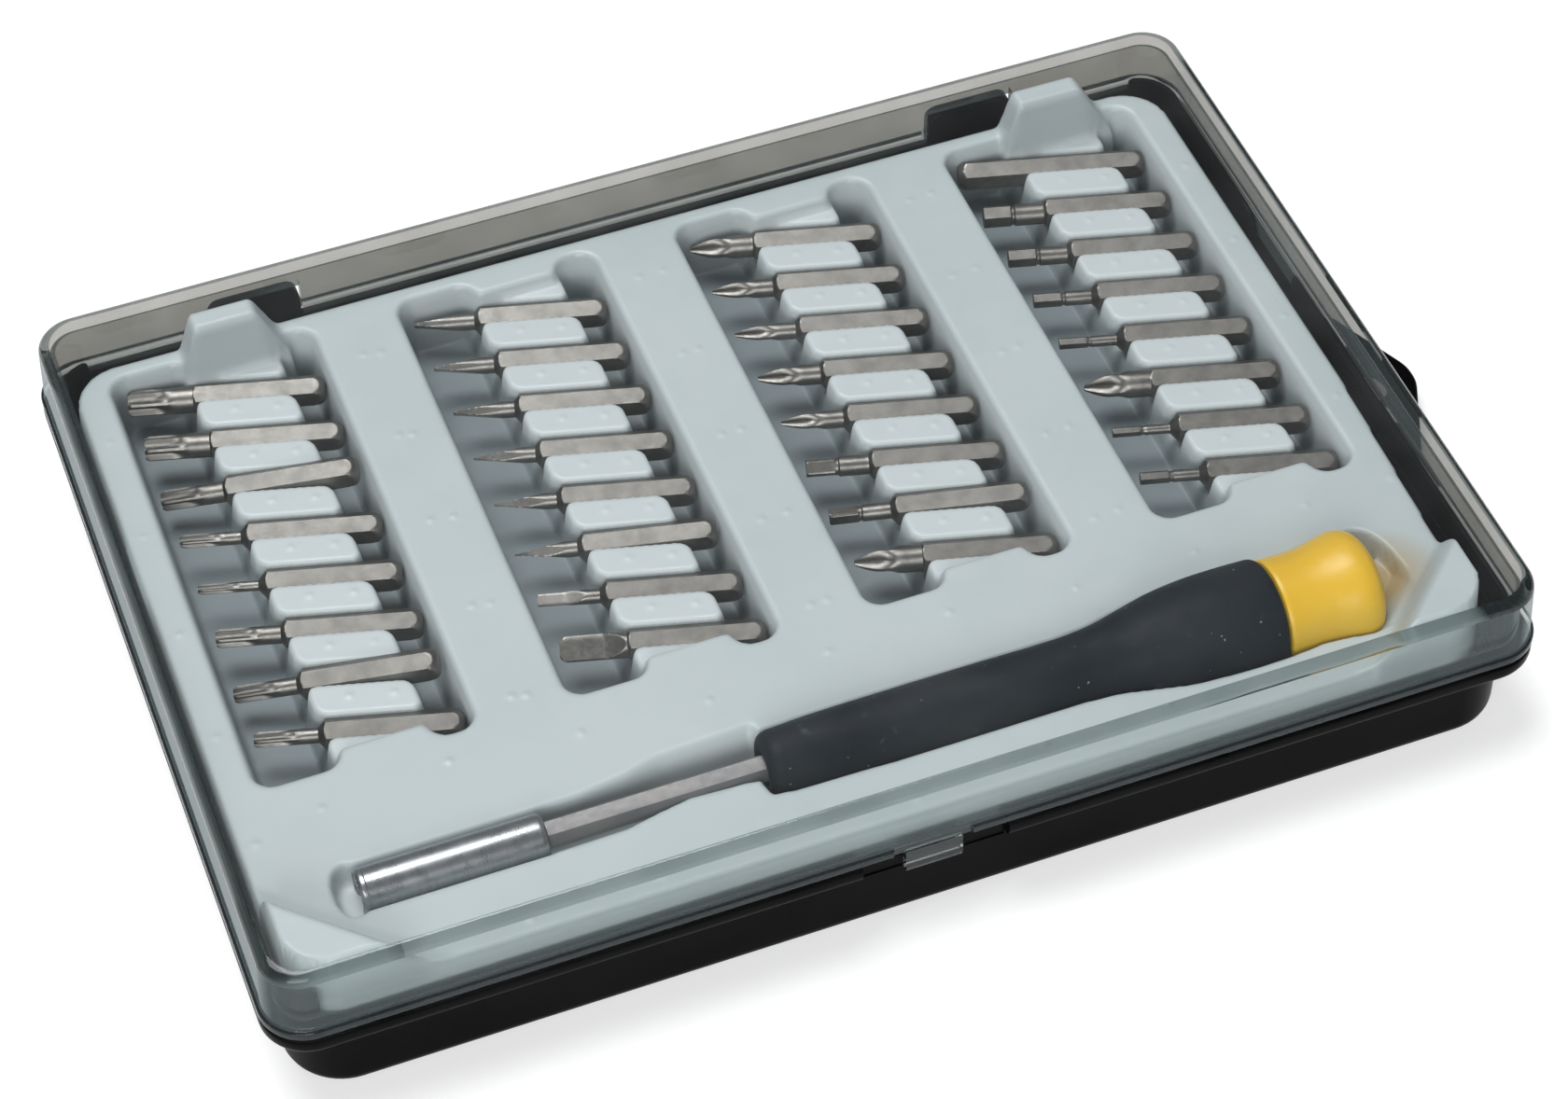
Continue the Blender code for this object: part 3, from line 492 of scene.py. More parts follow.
def clear_wall():
    """Clear plastic that doesn't bend light, darker and greener where it is edge on.

    The side and back walls carry a smoky tint that is painted shade; the front wall is clearer than the
    others.
    """
    material = bpy.data.materials.new("lid_wall_clear")
    material.use_nodes = True
    tree = material.node_tree
    tree.nodes.remove(tree.nodes["Principled BSDF"])
    axes = own_place(tree)[1]
    # Painted shade: the walls behind the front one are tinted smoky, and the front wall is left clear.
    front = spread(tree, axes["Y"], FRONT_WALL_Y[0] * MM, FRONT_WALL_Y[1] * MM)
    haze = patches(tree, 90.0, 3.0, 0.35, 0.7)
    painted_shade_tint = mix_colours(tree, haze, (0.44, 0.43, 0.405), (0.49, 0.48, 0.455))
    face_on = mix_colours(tree, front, (0.97, 0.98, 0.975), painted_shade_tint)
    facing = add_node(tree, "LayerWeight", {"Blend": 0.35}, "Facing")
    tint = mix_colours(tree, spread(tree, facing, 0.6, 1.0), face_on, (0.33, 0.39, 0.40))
    clear = add_node(tree, "BsdfTransparent", {"Color": tint})
    polish = patches(tree, 240.0, 3.0, 0.4, 0.75, 0.04, 0.12)
    gloss = add_node(tree, "BsdfGlossy", {"Color": (0.75, 0.82, 0.82), "Roughness": polish})
    mist = add_node(tree, "BsdfDiffuse", {"Color": (0.30, 0.37, 0.39)})
    misty = mix_shaders(tree, spread(tree, facing, 0.3, 1.0, 0.07, 0.32), clear, mist)
    shine = spread(tree, facing, 0.45, 1.0, 0.035, 0.5)
    let_lamps_through(tree, mix_shaders(tree, shine, misty, gloss), (0.88, 0.90, 0.90))
    return material


def clear_edge():
    """Clear plastic that bends light, for the lid's rounded edge, its bead and its snap tab."""
    material, tree, shader = new_material("lid_edge_clear", (0.35, 0.40, 0.41), 0.05)
    haze = patches(tree, 120.0, 3.0, 0.35, 0.7)
    feed(tree, shader, {
        "Transmission Weight": 1.0,
        "IOR": 1.35,
        "Base Color": mix_colours(tree, haze, (0.30, 0.35, 0.355), (0.40, 0.455, 0.46)),
        "Roughness": spread(tree, haze, 0.0, 1.0, 0.03, 0.1),
    })
    let_lamps_through(tree, shader.outputs[0], (0.86, 0.88, 0.88))
    return material


def clear_roof():
    """The lid's thin flat roof: what is under it shows in place, with a faint gloss and haze."""
    material, tree, shader = new_material("lid_roof_clear", (0.80, 0.84, 0.85), 0.05)
    feed(tree, shader, {
        "Alpha": patches(tree, 55.0, 4.0, 0.4, 0.75, 0.008, 0.022),
        "Roughness": patches(tree, 200.0, 3.0, 0.4, 0.75, 0.03, 0.1),
    })
    return material


def floor_white():
    """A studio floor that glows a little, so that it stays near white under soft lamps."""
    material, tree, shader = new_material("floor_white", (0.56, 0.56, 0.56), 0.8)
    cloud = patches(tree, 6.0, 2.0, 0.3, 0.7)
    feed(tree, shader, {
        "Base Color": mix_colours(tree, cloud, (0.55, 0.55, 0.55), (0.57, 0.57, 0.57)),
        "Emission Color": (1.0, 1.0, 1.0),
        "Emission Strength": 0.55,
    })
    return material


# ---------------------------------------------------------------- case


def make_base(material):
    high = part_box("base_shell")[1]
    half_x, half_y = high.x / MM, high.y / MM
    body_x, body_y = half_x - BODY_INSET[0], half_y - BODY_INSET[1]
    inside = ((2.6, 6.0, 1.8), (2.2, 6.3, 2.1), (2.0, 6.6, 2.8), (2.0, 6.6, 11.2))
    levels = [(body_x - inset, body_y - inset, corner, z) for inset, corner, z in inside]
    levels += [
        (half_x - 3.4, half_y - 3.1, 8.4, 11.3),
        (half_x - 3.4, half_y - 3.1, 8.4, RIM_TOP - 0.3),
        (half_x - 3.2, half_y - 2.9, 8.3, RIM_TOP - 0.05),
        (half_x - 3.0, half_y - 2.7, 8.2, RIM_TOP),
        (half_x - 0.4, half_y - 0.4, RIM_CORNER - 0.4, RIM_TOP),
        (half_x - 0.1, half_y - 0.1, RIM_CORNER - 0.1, RIM_TOP - 0.12),
        (half_x, half_y, RIM_CORNER, RIM_TOP - 0.4),
    ]
    for inset, rise in arc_profile(1.7, 7):
        levels.append((half_x - inset, half_y - inset, RIM_CORNER, RIM_UNDER + rise))
    levels += [
        (body_x + 0.25, body_y + 0.05, BODY_CORNER - 0.3, RIM_UNDER - 0.02),
        (body_x, body_y, BODY_CORNER, RIM_UNDER - 0.4),
        (body_x, body_y, BODY_CORNER, 4.0),
    ]
    for inset, drop in arc_profile(2.4, 7):
        levels.append((body_x - inset, body_y - inset, BODY_CORNER - inset, drop))
    rings = [[(x, y, z) for x, y in rounded_outline(hx, hy, radius)] for hx, hy, radius, z in levels]
    base = loft_piece("case_base", rings, material, "case")
    cut_box(base, RECESS_X, (-half_y - 3.0, -half_y + RECESS_DEPTH), (RECESS_BOTTOM, RIM_TOP + 2.0))
    slot_half = TAB_HALF + 0.3
    cut_box(base, (body_x - 4.0, half_x + 2.0), (-slot_half, slot_half), (1.9, 4.1))
    shade(base, 30.0)
    weigh_normals(base)
    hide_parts("base_shell")


def lip_path(sign_x, sign_y):
    """Plan points of one lip segment, from its end near the middle of the case to its side gap."""
    half_x, half_y = LIP_HALF
    centre = (half_x - LIP_CORNER, half_y - LIP_CORNER)
    path = [(LIP_START_X, half_y - 0.05, 0.0, 1.0)]
    for step in range(CORNER_STEPS + 1):
        angle = math.radians(82.0 - 82.0 * step / CORNER_STEPS)
        path.append((centre[0] + LIP_CORNER * math.cos(angle), centre[1] + LIP_CORNER * math.sin(angle),
                     math.cos(angle), math.sin(angle)))
    gap_y = LIP_GAP_Y[1] if sign_y > 0 else -LIP_GAP_Y[0]
    for share in (0.25, 0.5, 0.75, 0.9, 0.96, 1.0):
        path.append((half_x, centre[1] + (gap_y - centre[1]) * share, 1.0, 0.0))
    return [(sign_x * x, sign_y * y, sign_x * nx, sign_y * ny) for x, y, nx, ny in path]


def make_lips(material):
    """Black upstands just inside the lid's end walls, with rounded tops."""
    bottom = RIM_TOP - 0.4
    for sign_x in (-1, 1):
        for sign_y in (-1, 1):
            path = lip_path(sign_x, sign_y)
            rings = []
            count = len(path)
            for index, (x, y, nx, ny) in enumerate(path):
                run = min(index, 2) / 2.0
                top = bottom + (LIP_TOP - bottom) * math.sqrt(1.0 - (1.0 - run) ** 2 * 0.55)
                if sign_y > 0 and index > count - 4:
                    top = bottom + (LIP_TOP - bottom) * (0.97, 0.86, 0.55)[index - count + 3]
                section = [
                    (0.0, bottom), (0.0, top - 0.3), (0.1, top - 0.08), (0.3, top),
                    (LIP_WALL - 0.3, top), (LIP_WALL - 0.1, top - 0.08), (LIP_WALL, top - 0.3),
                    (LIP_WALL, bottom),
                ]
                rings.append([(x - nx * inset, y - ny * inset, z) for inset, z in section])
            side = "right" if sign_x > 0 else "left"
            end = "back" if sign_y > 0 else "front"
            lip = loft_piece(f"lip_{side}_{end}", rings, material, "case", 40.0)
            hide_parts("base_shell")


def make_lugs(material):
    """Hinge lugs with rounded shoulders, bored for the lid's pins."""
    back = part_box("base_shell")[1].y / MM
    for sign in (-1, 1):
        x0, x1 = LUG_X
        outline = [(x0, RIM_TOP - 1.0), (x1, RIM_TOP - 1.0)]
        for centre_x, start in ((x1 - 1.8, 0.0), (x0 + 1.8, 90.0)):
            for step in range(9):
                angle = math.radians(start + 90.0 * step / 8)
                outline.append((centre_x + 1.8 * math.cos(angle), LUG_TOP - 1.8 + 1.8 * math.sin(angle)))
        rings = []
        for y, inset in ((back - 2.5, 0.25), (back - 2.25, 0.0), (back - 0.25, 0.0), (back, 0.25)):
            middle_x, middle_z = (x0 + x1) / 2.0, (RIM_TOP + LUG_TOP) / 2.0
            ring = []
            for x, z in outline:
                ring.append((sign * (x - math.copysign(inset, x - middle_x)), y,
                             z - math.copysign(inset, z - middle_z)))
            rings.append(ring)
        lug = loft_piece("lug_right" if sign > 0 else "lug_left", rings, material, "case", 35.0)
        bore = circle_rings([(sign * (x0 - 1.0), 0.95), (sign * (x1 + 1.0), 0.95)], (HINGE_Y, HINGE_Z), 24)
        cut(lug, bore)
        shade(lug, 35.0)
        weigh_normals(lug)
        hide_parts("base_shell")


def lid_levels(half_x, half_y, bottom, top):
    """Rings of the lid from its inner roof, down the inside and up the outside to its top."""
    roof_under = top - ROOF
    inner_x, inner_y = half_x - WALL, half_y - WALL
    levels = []
    for inset, drop in reversed(arc_profile(0.8, 5)):
        lean = LID_DRAFT * 0.85 + inset
        levels.append((inner_x - lean, inner_y - lean, 4.2 - 0.5 * inset, roof_under - drop, 0.0))
    levels += [
        (inner_x, inner_y, 4.5, bottom + 0.2, 0.0),
        (inner_x + 0.15, inner_y + 0.15, 4.6, bottom, 0.0),
    ]
    for proud, corner, rise in (
        (BEAD_PROUD - 0.25, 0.25, 0.0), (BEAD_PROUD, 0.5, 0.25), (BEAD_PROUD, 0.5, BEAD_HEIGHT - 0.3),
        (BEAD_PROUD - 0.15, 0.35, BEAD_HEIGHT - 0.08), (0.12, 0.1, BEAD_HEIGHT),
    ):
        levels.append((half_x + proud, half_y + proud, LID_CORNER + corner, bottom + rise, proud))
    levels.append((half_x - 0.01, half_y - 0.01, LID_CORNER, bottom + BEAD_HEIGHT + 0.15, 0.0))
    for inset, drop in arc_profile(1.5, 7):
        lean = LID_DRAFT + inset
        levels.append((half_x - lean, half_y - lean, LID_CORNER - 0.5 - 0.4 * inset, top - drop, 0.0))
    return levels


def make_lid(wall_material, roof_material, edge_material):
    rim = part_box("base_shell")[1]
    half_x, half_y = rim.x / MM - BEAD_PROUD, rim.y / MM - BEAD_PROUD
    bottom, top = RIM_TOP + 0.5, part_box("lid_shell")[1].z / MM
    gap = [x + step for x in BEAD_GAP_X for step in (-0.1, 0.1)]
    rings = []
    for hx, hy, radius, z, proud in lid_levels(half_x, half_y, bottom, top):
        ring = []
        for x, y in rounded_outline(hx, hy, radius, gap):
            in_gap = y < 0.0 and gap[1] - 0.05 <= x <= gap[2] + 0.05
            ring.append((x, y + proud if in_gap else y, z))
        rings.append(ring)
    lid = loft_piece("lid_clear", rings, wall_material, "lid", 40.0)
    for sign in (-1, 1):
        notch_x = sorted(sign * x for x in (LUG_X[0] - 0.3, LUG_X[1] + 0.3))
        cut_box(lid, notch_x, (HINGE_Y - 4.0, HINGE_Y + 4.0), (bottom - 1.0, LUG_TOP + 0.5))
    shade(lid, 40.0)
    weigh_normals(lid)
    lid.data.materials.append(roof_material)
    lid.data.materials.append(edge_material)
    for face in lid.data.polygons:
        height = face.center.z / MM
        outside = face.normal.dot(face.center) > 0.0
        if abs(face.normal.z) > 0.999 and height > top - ROOF - 0.1:
            face.material_index = 1
        elif outside and (height > top - EDGE_BAND or bottom < height < bottom + BEAD_HEIGHT):
            face.material_index = 2
    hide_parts("lid_shell")
    make_lid_pins(wall_material)
    make_latch(edge_material, half_y, bottom)


def make_lid_pins(material):
    for sign in (-1, 1):
        for end, x in (("inner", LUG_X[0] - 0.25), ("outer", LUG_X[1] + 0.25)):
            reach = 1.2 if end == "inner" else -1.2
            profile = [(sign * x, 0.68), (sign * (x + 0.8 * reach), 0.68), (sign * (x + reach), 0.5)]
            rings = circle_rings(profile, (HINGE_Y, HINGE_Z), 20)
            side = "right" if sign > 0 else "left"
            pin = loft_piece(f"lid_pin_{side}_{end}", rings, material, "lid")
            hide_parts("lid_shell")


def make_latch(material, half_y, bottom):
    """The snap tab that hangs from the lid's front over the recess, with a thick grip edge."""
    top = bottom - LATCH_BOTTOM - 0.05
    section = (
        (-0.15, top), (-0.2, 1.3), (-0.2, 0.3), (0.0, 0.0), (0.6, 0.0), (0.9, 0.4), (0.9, 1.0), (0.7, 1.5),
        (0.7, top),
    )
    ends = ((0.0, 0.25), (0.12, 0.07), (0.3, 0.0))
    stations = [(LATCH_X[0] + step, inset) for step, inset in ends]
    stations += [(LATCH_X[1] - step, inset) for step, inset in reversed(ends)]
    rings = []
    for x, inset in stations:
        rings.append([(x, y - half_y, LATCH_BOTTOM + max(rise, inset)) for y, rise in section])
    latch = loft_piece("lid_latch", rings, material, "lid", 35.0)
    weigh_normals(latch)
    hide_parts("lid_shell")


def make_hang_tab(material):
    low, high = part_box("hang_tab")
    side = (
        (TAB_START, TAB_STOP_HALF, 1.4), (TAB_STOP_X, TAB_STOP_HALF, 0.3), (TAB_STOP_X, TAB_HALF, 0.3),
        (TAB_SHOULDER_X, TAB_HALF, 1.0), (TAB_END, 1.6, 1.4),
    )
    corners = [(x, -y, radius) for x, y, radius in side] + list(reversed(side))
    outline = []
    for index, (x, y, radius) in enumerate(corners):
        corner = Vector((x, y))
        before = (Vector(corners[index - 1][:2]) - corner).normalized()
        after = (Vector(corners[(index + 1) % len(corners)][:2]) - corner).normalized()
        for step in range(7):
            share = step / 6.0
            point = corner + before * radius * (1.0 - share) ** 2 + after * radius * share ** 2
            outline.append((point.x, point.y))
    bottom, top = low.z / MM, high.z / MM
    levels = ((bottom, 0.25), (bottom + 0.25, 0.0), (top - 0.25, 0.0), (top, 0.25))
    rings = []
    for z, inset in levels:
        narrow = 1.0 - inset / TAB_STOP_HALF
        rings.append([(x - math.copysign(inset, x - 80.0), y * narrow, z) for x, y in outline])
    tab = loft_piece("hang_plate", rings, material, "tab", 35.0)
    angles = [math.tau * step / 48 for step in range(48)]
    circle = [(HOOK_X + HOOK_RADIUS * math.cos(a), HOOK_RADIUS * math.sin(a)) for a in angles]
    cut(tab, [[(x, y, z) for x, y in circle] for z in (bottom - 1.0, top + 1.0)])
    shade(tab, 35.0)
    weigh_normals(tab)
    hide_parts("hang_tab")


# ---------------------------------------------------------------- tray


def smooth_min(a, b, size):
    share = np.clip(0.5 + 0.5 * (b - a) / size, 0.0, 1.0)
    return b * (1.0 - share) + a * share - size * share * (1.0 - share)


def smooth_max(a, b, size):
    return -smooth_min(-a, -b, size)


def ease(share):
    share = np.clip(share, 0.0, 1.0)
    return share * share * (3.0 - 2.0 * share)


def box_depth(x, y, x_range, y_range, radius):
    """How far inside a rounded box each point is, negative outside."""
    over_x = np.abs(x - sum(x_range) / 2.0) - (x_range[1] - x_range[0]) / 2.0 + radius
    over_y = np.abs(y - sum(y_range) / 2.0) - (y_range[1] - y_range[0]) / 2.0 + radius
    outside = np.hypot(np.maximum(over_x, 0.0), np.maximum(over_y, 0.0))
    return radius - outside - np.minimum(np.maximum(over_x, over_y), 0.0)


def edge(depth, top, bottom, radius, run):
    """Height across an edge: flat top, a round of a radius, then a steep wall to the bottom."""
    inside = np.clip(depth, 0.0, radius)
    rounded = top - radius + np.sqrt(np.maximum(radius ** 2 - (radius - inside) ** 2, 0.0))
    wall = top - radius + depth * (top - radius - bottom) / run
    return np.maximum(np.where(depth > 0.0, rounded, wall), bottom)


def well_heights(x, y, height):
    """Sink the four bit wells, with their troughs, slots and ribs, into the tray's top."""
    slope = math.tan(SLANT)
    for centre in COLUMN_X:
        left, right = centre - WELL_HALF_X, centre + WELL_HALF_X
        rib_x = (centre + RIB_X[0], centre + RIB_X[1])
        left_trough = box_depth(x, y, (left, rib_x[0] + 1.0), TROUGH_Y, 2.6)
        right_trough = box_depth(x, y, (rib_x[1] - 1.0, right), TROUGH_Y, 2.6)
        band = box_depth(x, y, (rib_x[0] - 3.0, rib_x[1] + 3.0), BAND_Y, 1.0)
        mouth = smooth_max(smooth_max(left_trough, right_trough, 1.6), band, 1.2)
        wall = edge(-mouth, TRAY_TOP, TROUGH_FLOOR, 0.9, 1.1)
        under_bits = box_depth(x, y, rib_x, (BAND_Y[0] - 2.0, BAND_Y[1] + 2.0), 0.5)
        slots = edge(under_bits, SLOT_FLOOR, TROUGH_FLOOR, 0.8, 0.6)
        relief = np.maximum(slots, TROUGH_FLOOR)
        for row in range(-1, ROWS):
            line = FIRST_ROW_Y - row * ROW_PITCH + (x - centre - BIT_OFFSET_X) * slope
            across = (y - line) * math.cos(SLANT)
            pitch = ROW_PITCH * math.cos(SLANT)
            rib_span = (rib_x[0] + 0.2, rib_x[1] - 0.2)
            rib = box_depth(x, across, rib_span, (SLOT_HALF - pitch, -SLOT_HALF), 1.7)
            pillow = edge(rib, RIB_TOP, TROUGH_FLOOR, 0.55, 0.6)
            pillow = np.where(np.abs(x - centre) > WELL_HALF_X, TROUGH_FLOOR, pillow)
            relief = smooth_max(relief, pillow, 0.3)
        sunk = smooth_max(wall, relief, 0.5)
        near = (np.abs(x - centre) < WELL_HALF_X + 3.0) & (y > TROUGH_Y[0] - 3.0) & (y < TROUGH_Y[1] + 3.0)
        height = np.where(near, np.minimum(height, np.minimum(sunk, TRAY_TOP)), height)
    return height


def driver_radius(x):
    """Radius of the driver's pocket along the grip and cap."""
    places = (-17.0, -14.0, 0.0, 27.0, 32.0, 36.5, 41.0, 46.0, 51.0, 56.0, 60.0, 63.0, 67.5, 71.0)
    radii = (4.7, 5.1, 5.4, 5.35, 5.75, 6.75, 7.75, 8.15, 8.25, 8.15, 7.75, 7.85, 8.55, 8.6)
    return np.interp(x, places, radii)


def driver_pocket(x, y, height, axis_y, axis_z):
    """Sink the driver's pocket: sleeve channel, finger room behind the shaft, grip and cap."""
    across = np.abs(y - axis_y)

    def channel(start, end, radius, start_run, end_run, mouth_round):
        past_start = (np.maximum(start - x, 0.0) / start_run) ** 4
        past_end = (np.maximum(x - end, 0.0) / end_run) ** 3
        reach = np.sqrt(across ** 2 + radius ** 2 * (past_start + past_end))
        below = axis_z - np.sqrt(np.maximum(radius ** 2 - reach ** 2, 0.0))
        rise = TRAY_TOP - axis_z
        over = np.clip((reach - radius) / mouth_round, 0.0, 1.0)
        above = axis_z + rise * np.sqrt(np.maximum(1.0 - (1.0 - over) ** 2, 0.0))
        return np.where(reach < radius, below, above)

    sleeve = channel(-71.4, -46.6, np.interp(x, (-72.0, -71.0), (3.9, 3.45)), 3.0, 0.9, 0.8)
    grip = channel(-16.4, 70.8, driver_radius(np.clip(x, -16.4, 70.8)), 0.9, 5.2, 0.8)
    back_x = (-47.5, -45.6, -40.1, -33.7, -28.9, -20.1, -16.2, -13.4)
    back_y = (-40.1, -39.9, -39.7, -38.7, -37.2, -36.8, -36.6, -36.0)
    front_x = (-47.5, -36.4, -31.8, -27.2, -20.0, -17.1, -14.9)
    front_y = (-46.9, -46.7, -45.7, -44.9, -45.2, -45.6, -46.4)
    back = np.interp(x, back_x, back_y)
    front = np.interp(x, front_x, front_y)
    slope = ease((back + 0.5 - y) / np.maximum(back + 0.5 - (axis_y + 1.7), 0.8))
    front_wall = ease((y - front + 0.2) / 0.7)
    ends = ease((x + 47.3) / 0.9) * ease((-15.0 - x) / 1.4)
    room = TRAY_TOP - (TRAY_TOP - ROOM_FLOOR) * slope * front_wall * ends
    return np.minimum(np.minimum(height, room), np.minimum(sleeve, grip))


def bump_heights(x, y, height, top):
    """Raise the four bumps that keep the lid off the tray."""
    rise = top - TRAY_TOP
    for x_range, runs in (((-65.7, -56.7), (2.0, 3.2)), ((60.9, 70.7), (1.7, 4.0))):
        sides = (
            (x - x_range[0]) / runs[0], (x_range[1] - x) / runs[1],
            (y - 53.8) / 0.35, (57.4 - y) / 0.9,
        )
        share = smooth_min(smooth_min(sides[0], sides[1], 0.08), smooth_min(sides[2], sides[3], 0.08), 0.1)
        flank = top + rise * share
        bump = smooth_min(np.full_like(x, top), flank, 1.2)
        height = smooth_max(height, np.where(bump > TRAY_TOP - 3.0, bump, 0.0), 1.6)
    for sign, outer in ((1.0, 81.9), (-1.0, 83.7)):
        local = sign * x
        shift = outer - 81.9
        slant = -(local - 81.4 - shift) * 0.689 + (y + 47.0) * 0.725
        fall = np.maximum(slant / 4.4, 0.0)
        flank = top - rise * ease(fall) ** 0.8 - 4.0 * np.maximum(fall - 1.0, 0.0)
        wedge = smooth_min(flank, top - np.maximum(slant, 0.0) * 0.6, 2.2)
        sides = smooth_min((outer - local) / 0.5, (y + 58.2) / 0.5, 0.5)
        bump = smooth_min(wedge, top + rise * sides, 2.0)
        close = (local > 62.0) & (y < -38.0)
        height = np.where(close, smooth_max(height, np.clip(bump, TRAY_TOP - 3.0, top), 1.6), height)
    return height


def pimple_places():
    """Small moulding pimples: two on each rib and a scatter over the flat top."""
    slope = math.tan(SLANT)
    places = []
    for centre in COLUMN_X:
        for row in range(ROWS - 1):
            for along in (0.9, 6.7):
                middle = FIRST_ROW_Y - (row + 0.46) * ROW_PITCH + (along - BIT_OFFSET_X) * slope
                places.append((centre + along, middle, 0.1))
    for strip_x in (-43.6, -41.1, -1.2, 1.8, 41.2, 44.4):
        for step in range(5):
            sway = 0.4 * math.sin(step * 2.1 + strip_x)
            places.append((strip_x + sway, 46.0 - 17.0 * step + strip_x % 3.0, 0.09))
    for step in range(9):
        places.append((-72.0 + 17.6 * step, -29.5 + 1.5 * math.sin(step * 1.7), 0.1))
        places.append((-70.0 + 17.6 * step, -55.6 + 0.8 * math.cos(step * 2.3), 0.09))
    for step in range(5):
        places.append((-81.6, 44.0 - 19.0 * step, 0.09))
        places.append((82.0, 40.0 - 17.0 * step, 0.09))
    return places


def soften(height, rounds):
    for _ in range(rounds):
        padded = np.pad(height, 1, mode="edge")
        height = 0.5 * padded[1:-1, 1:-1] + 0.125 * (
            padded[:-2, 1:-1] + padded[2:, 1:-1] + padded[1:-1, :-2] + padded[1:-1, 2:]
        )
    return height


def make_tray(material):
    low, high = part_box("tray")
    half_x, half_y = high.x / MM, high.y / MM
    bottom, top = low.z / MM, high.z / MM
    axis_y, axis_z = driver_axis()
    columns = int(round(2 * half_x / GRID_STEP)) + 1
    rows = int(round(2 * half_y / GRID_STEP)) + 1
    x, y = np.meshgrid(np.linspace(-half_x, half_x, columns), np.linspace(-half_y, half_y, rows))
    height = np.full_like(x, TRAY_TOP)
    height = well_heights(x, y, height)
    height = driver_pocket(x, y, height, axis_y, axis_z)
    height = bump_heights(x, y, height, top)
    height = soften(height, 1)
    for place_x, place_y, size in pimple_places():
        reach = (x - place_x) ** 2 + (y - place_y) ** 2
        height = height + 1.6 * size * np.exp(-reach / 0.22)
    taper = TRAY_TAPER * np.clip((TRAY_TAPER_Y - y) / (TRAY_TAPER_Y + half_y), 0.0, 1.0)
    tapered_x = x + np.where(x > 0.0, taper, 0.0)
    depth = box_depth(tapered_x, y, (-half_x, half_x), (-half_y, half_y), TRAY_CORNER)
    rounding = np.clip(depth - 0.3, 0.0, 1.1)
    shoulder = 1.1 - np.sqrt(np.maximum(1.1 ** 2 - (1.1 - rounding) ** 2, 0.0))
    height = np.where(height < TRAY_TOP + 1.0, height - shoulder, height)
    height = np.minimum(height, bottom + np.maximum(depth, 0.0) * 16.0)
    height = np.clip(height, bottom, top)
    points = np.stack([x, y, height], axis=-1).reshape(-1, 3)
    faces = []
    inside = depth > -0.35
    for row in range(rows - 1):
        for column in range(columns - 1):
            if not (inside[row, column] or inside[row + 1, column + 1]):
                continue
            here = row * columns + column
            faces.append((here, here + 1, here + columns + 1, here + columns))
    used = np.zeros(len(points), bool)
    used[np.array(faces).ravel()] = True
    renumber = np.cumsum(used) - 1
    kept = points[used].tolist()
    faces = [tuple(int(renumber[index]) for index in face) for face in faces]
    tray = add_piece("tray_sheet", kept, faces, material, "case", 180.0)
    if tray.data.polygons[0].normal.z < 0.0:
        tray.data.flip_normals()
    thin_out(tray, TRAY_KEEP)
    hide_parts("tray")


# ---------------------------------------------------------------- bits


def corner_radius(angle, sides, flats, turn=0.0):
    """Radius of a regular polygon at an angle; it has a corner at the turn angle."""
    sector = math.tau / sides
    offset = (angle - turn) % sector - sector / 2.0
    return flats / 2.0 / np.cos(offset)


def fold(angle, sides):
    """Angle from the nearest flute, for flutes that lie between the corners."""
    sector = math.tau / sides
    return np.abs((angle % sector) - sector / 2.0)


def star_tip(angle, along, radius):
    """Six flutes that run out towards the shank, and a small chamfer at the end."""
    depth = 0.38 * ease((along - 21.4) / 3.2)
    flute = radius * (1.0 - depth * (1.0 - np.clip(fold(angle, 6) / 0.42, 0.0, 1.0) ** 2))
    end = radius - 0.5 * np.clip(along - 27.5, 0.0, 0.5)
    return np.minimum(np.minimum(radius, flute), end)


def cross_tip(angle, along, radius):
    """A cross point: four hollows that deepen towards a blunt taper."""
    taper = radius * (1.0 - 0.74 * np.clip((along - 24.2) / 3.8, 0.0, 1.0) ** 1.7)
    depth = 0.66 * ease((along - 21.6) / 3.4)
    wing = np.clip(fold(angle, 4) / 0.70, 0.0, 1.0) ** 1.3
    flute = taper * (1.0 - depth * (1.0 - wing))
    return np.minimum(np.minimum(radius, taper), flute)


def blade_tip(angle, along, width, thickness, neck, turn, start, run, nose):
    """A blade whose width lies at the turn angle, ground flat over a run from a round neck."""
    share = np.clip((along - start) / run, 0.0, 1.0)
    half_width = neck + (width / 2.0 - neck) * share
    end = np.clip((along - BIT_LENGTH + nose) / nose, 0.0, 1.0)
    half_width = half_width * (1.0 - 0.55 * (1.0 - np.sqrt(1.0 - 0.96 * end * end)))
    half_thick = thickness / 2.0 + (neck - thickness / 2.0) * (1.0 - share) ** 1.15
    sideways = np.abs(np.sin(angle - turn))
    upright = np.abs(np.cos(angle - turn))
    slab = np.minimum(half_width / np.maximum(upright, 1e-4), half_thick / np.maximum(sideways, 1e-4))
    return np.minimum(slab, np.maximum(neck, half_width))


def polygon_tip(angle, along, sides, flats, neck, turn=0.0):
    """A square or hexagon point with a fine groove behind it and a small chamfer at its end."""
    shape = corner_radius(angle, sides, flats, turn)
    groove = np.where(along < 23.3, neck, np.where(along < 23.75, 0.86 * neck, shape))
    end = flats * 0.62 - 0.6 * np.clip(along - 27.65, 0.0, 0.35)
    return np.minimum(groove, end)


STARS = (1.93, 1.8, 1.5, 0.95, 0.72, 1.3, 1.2, 1.05)
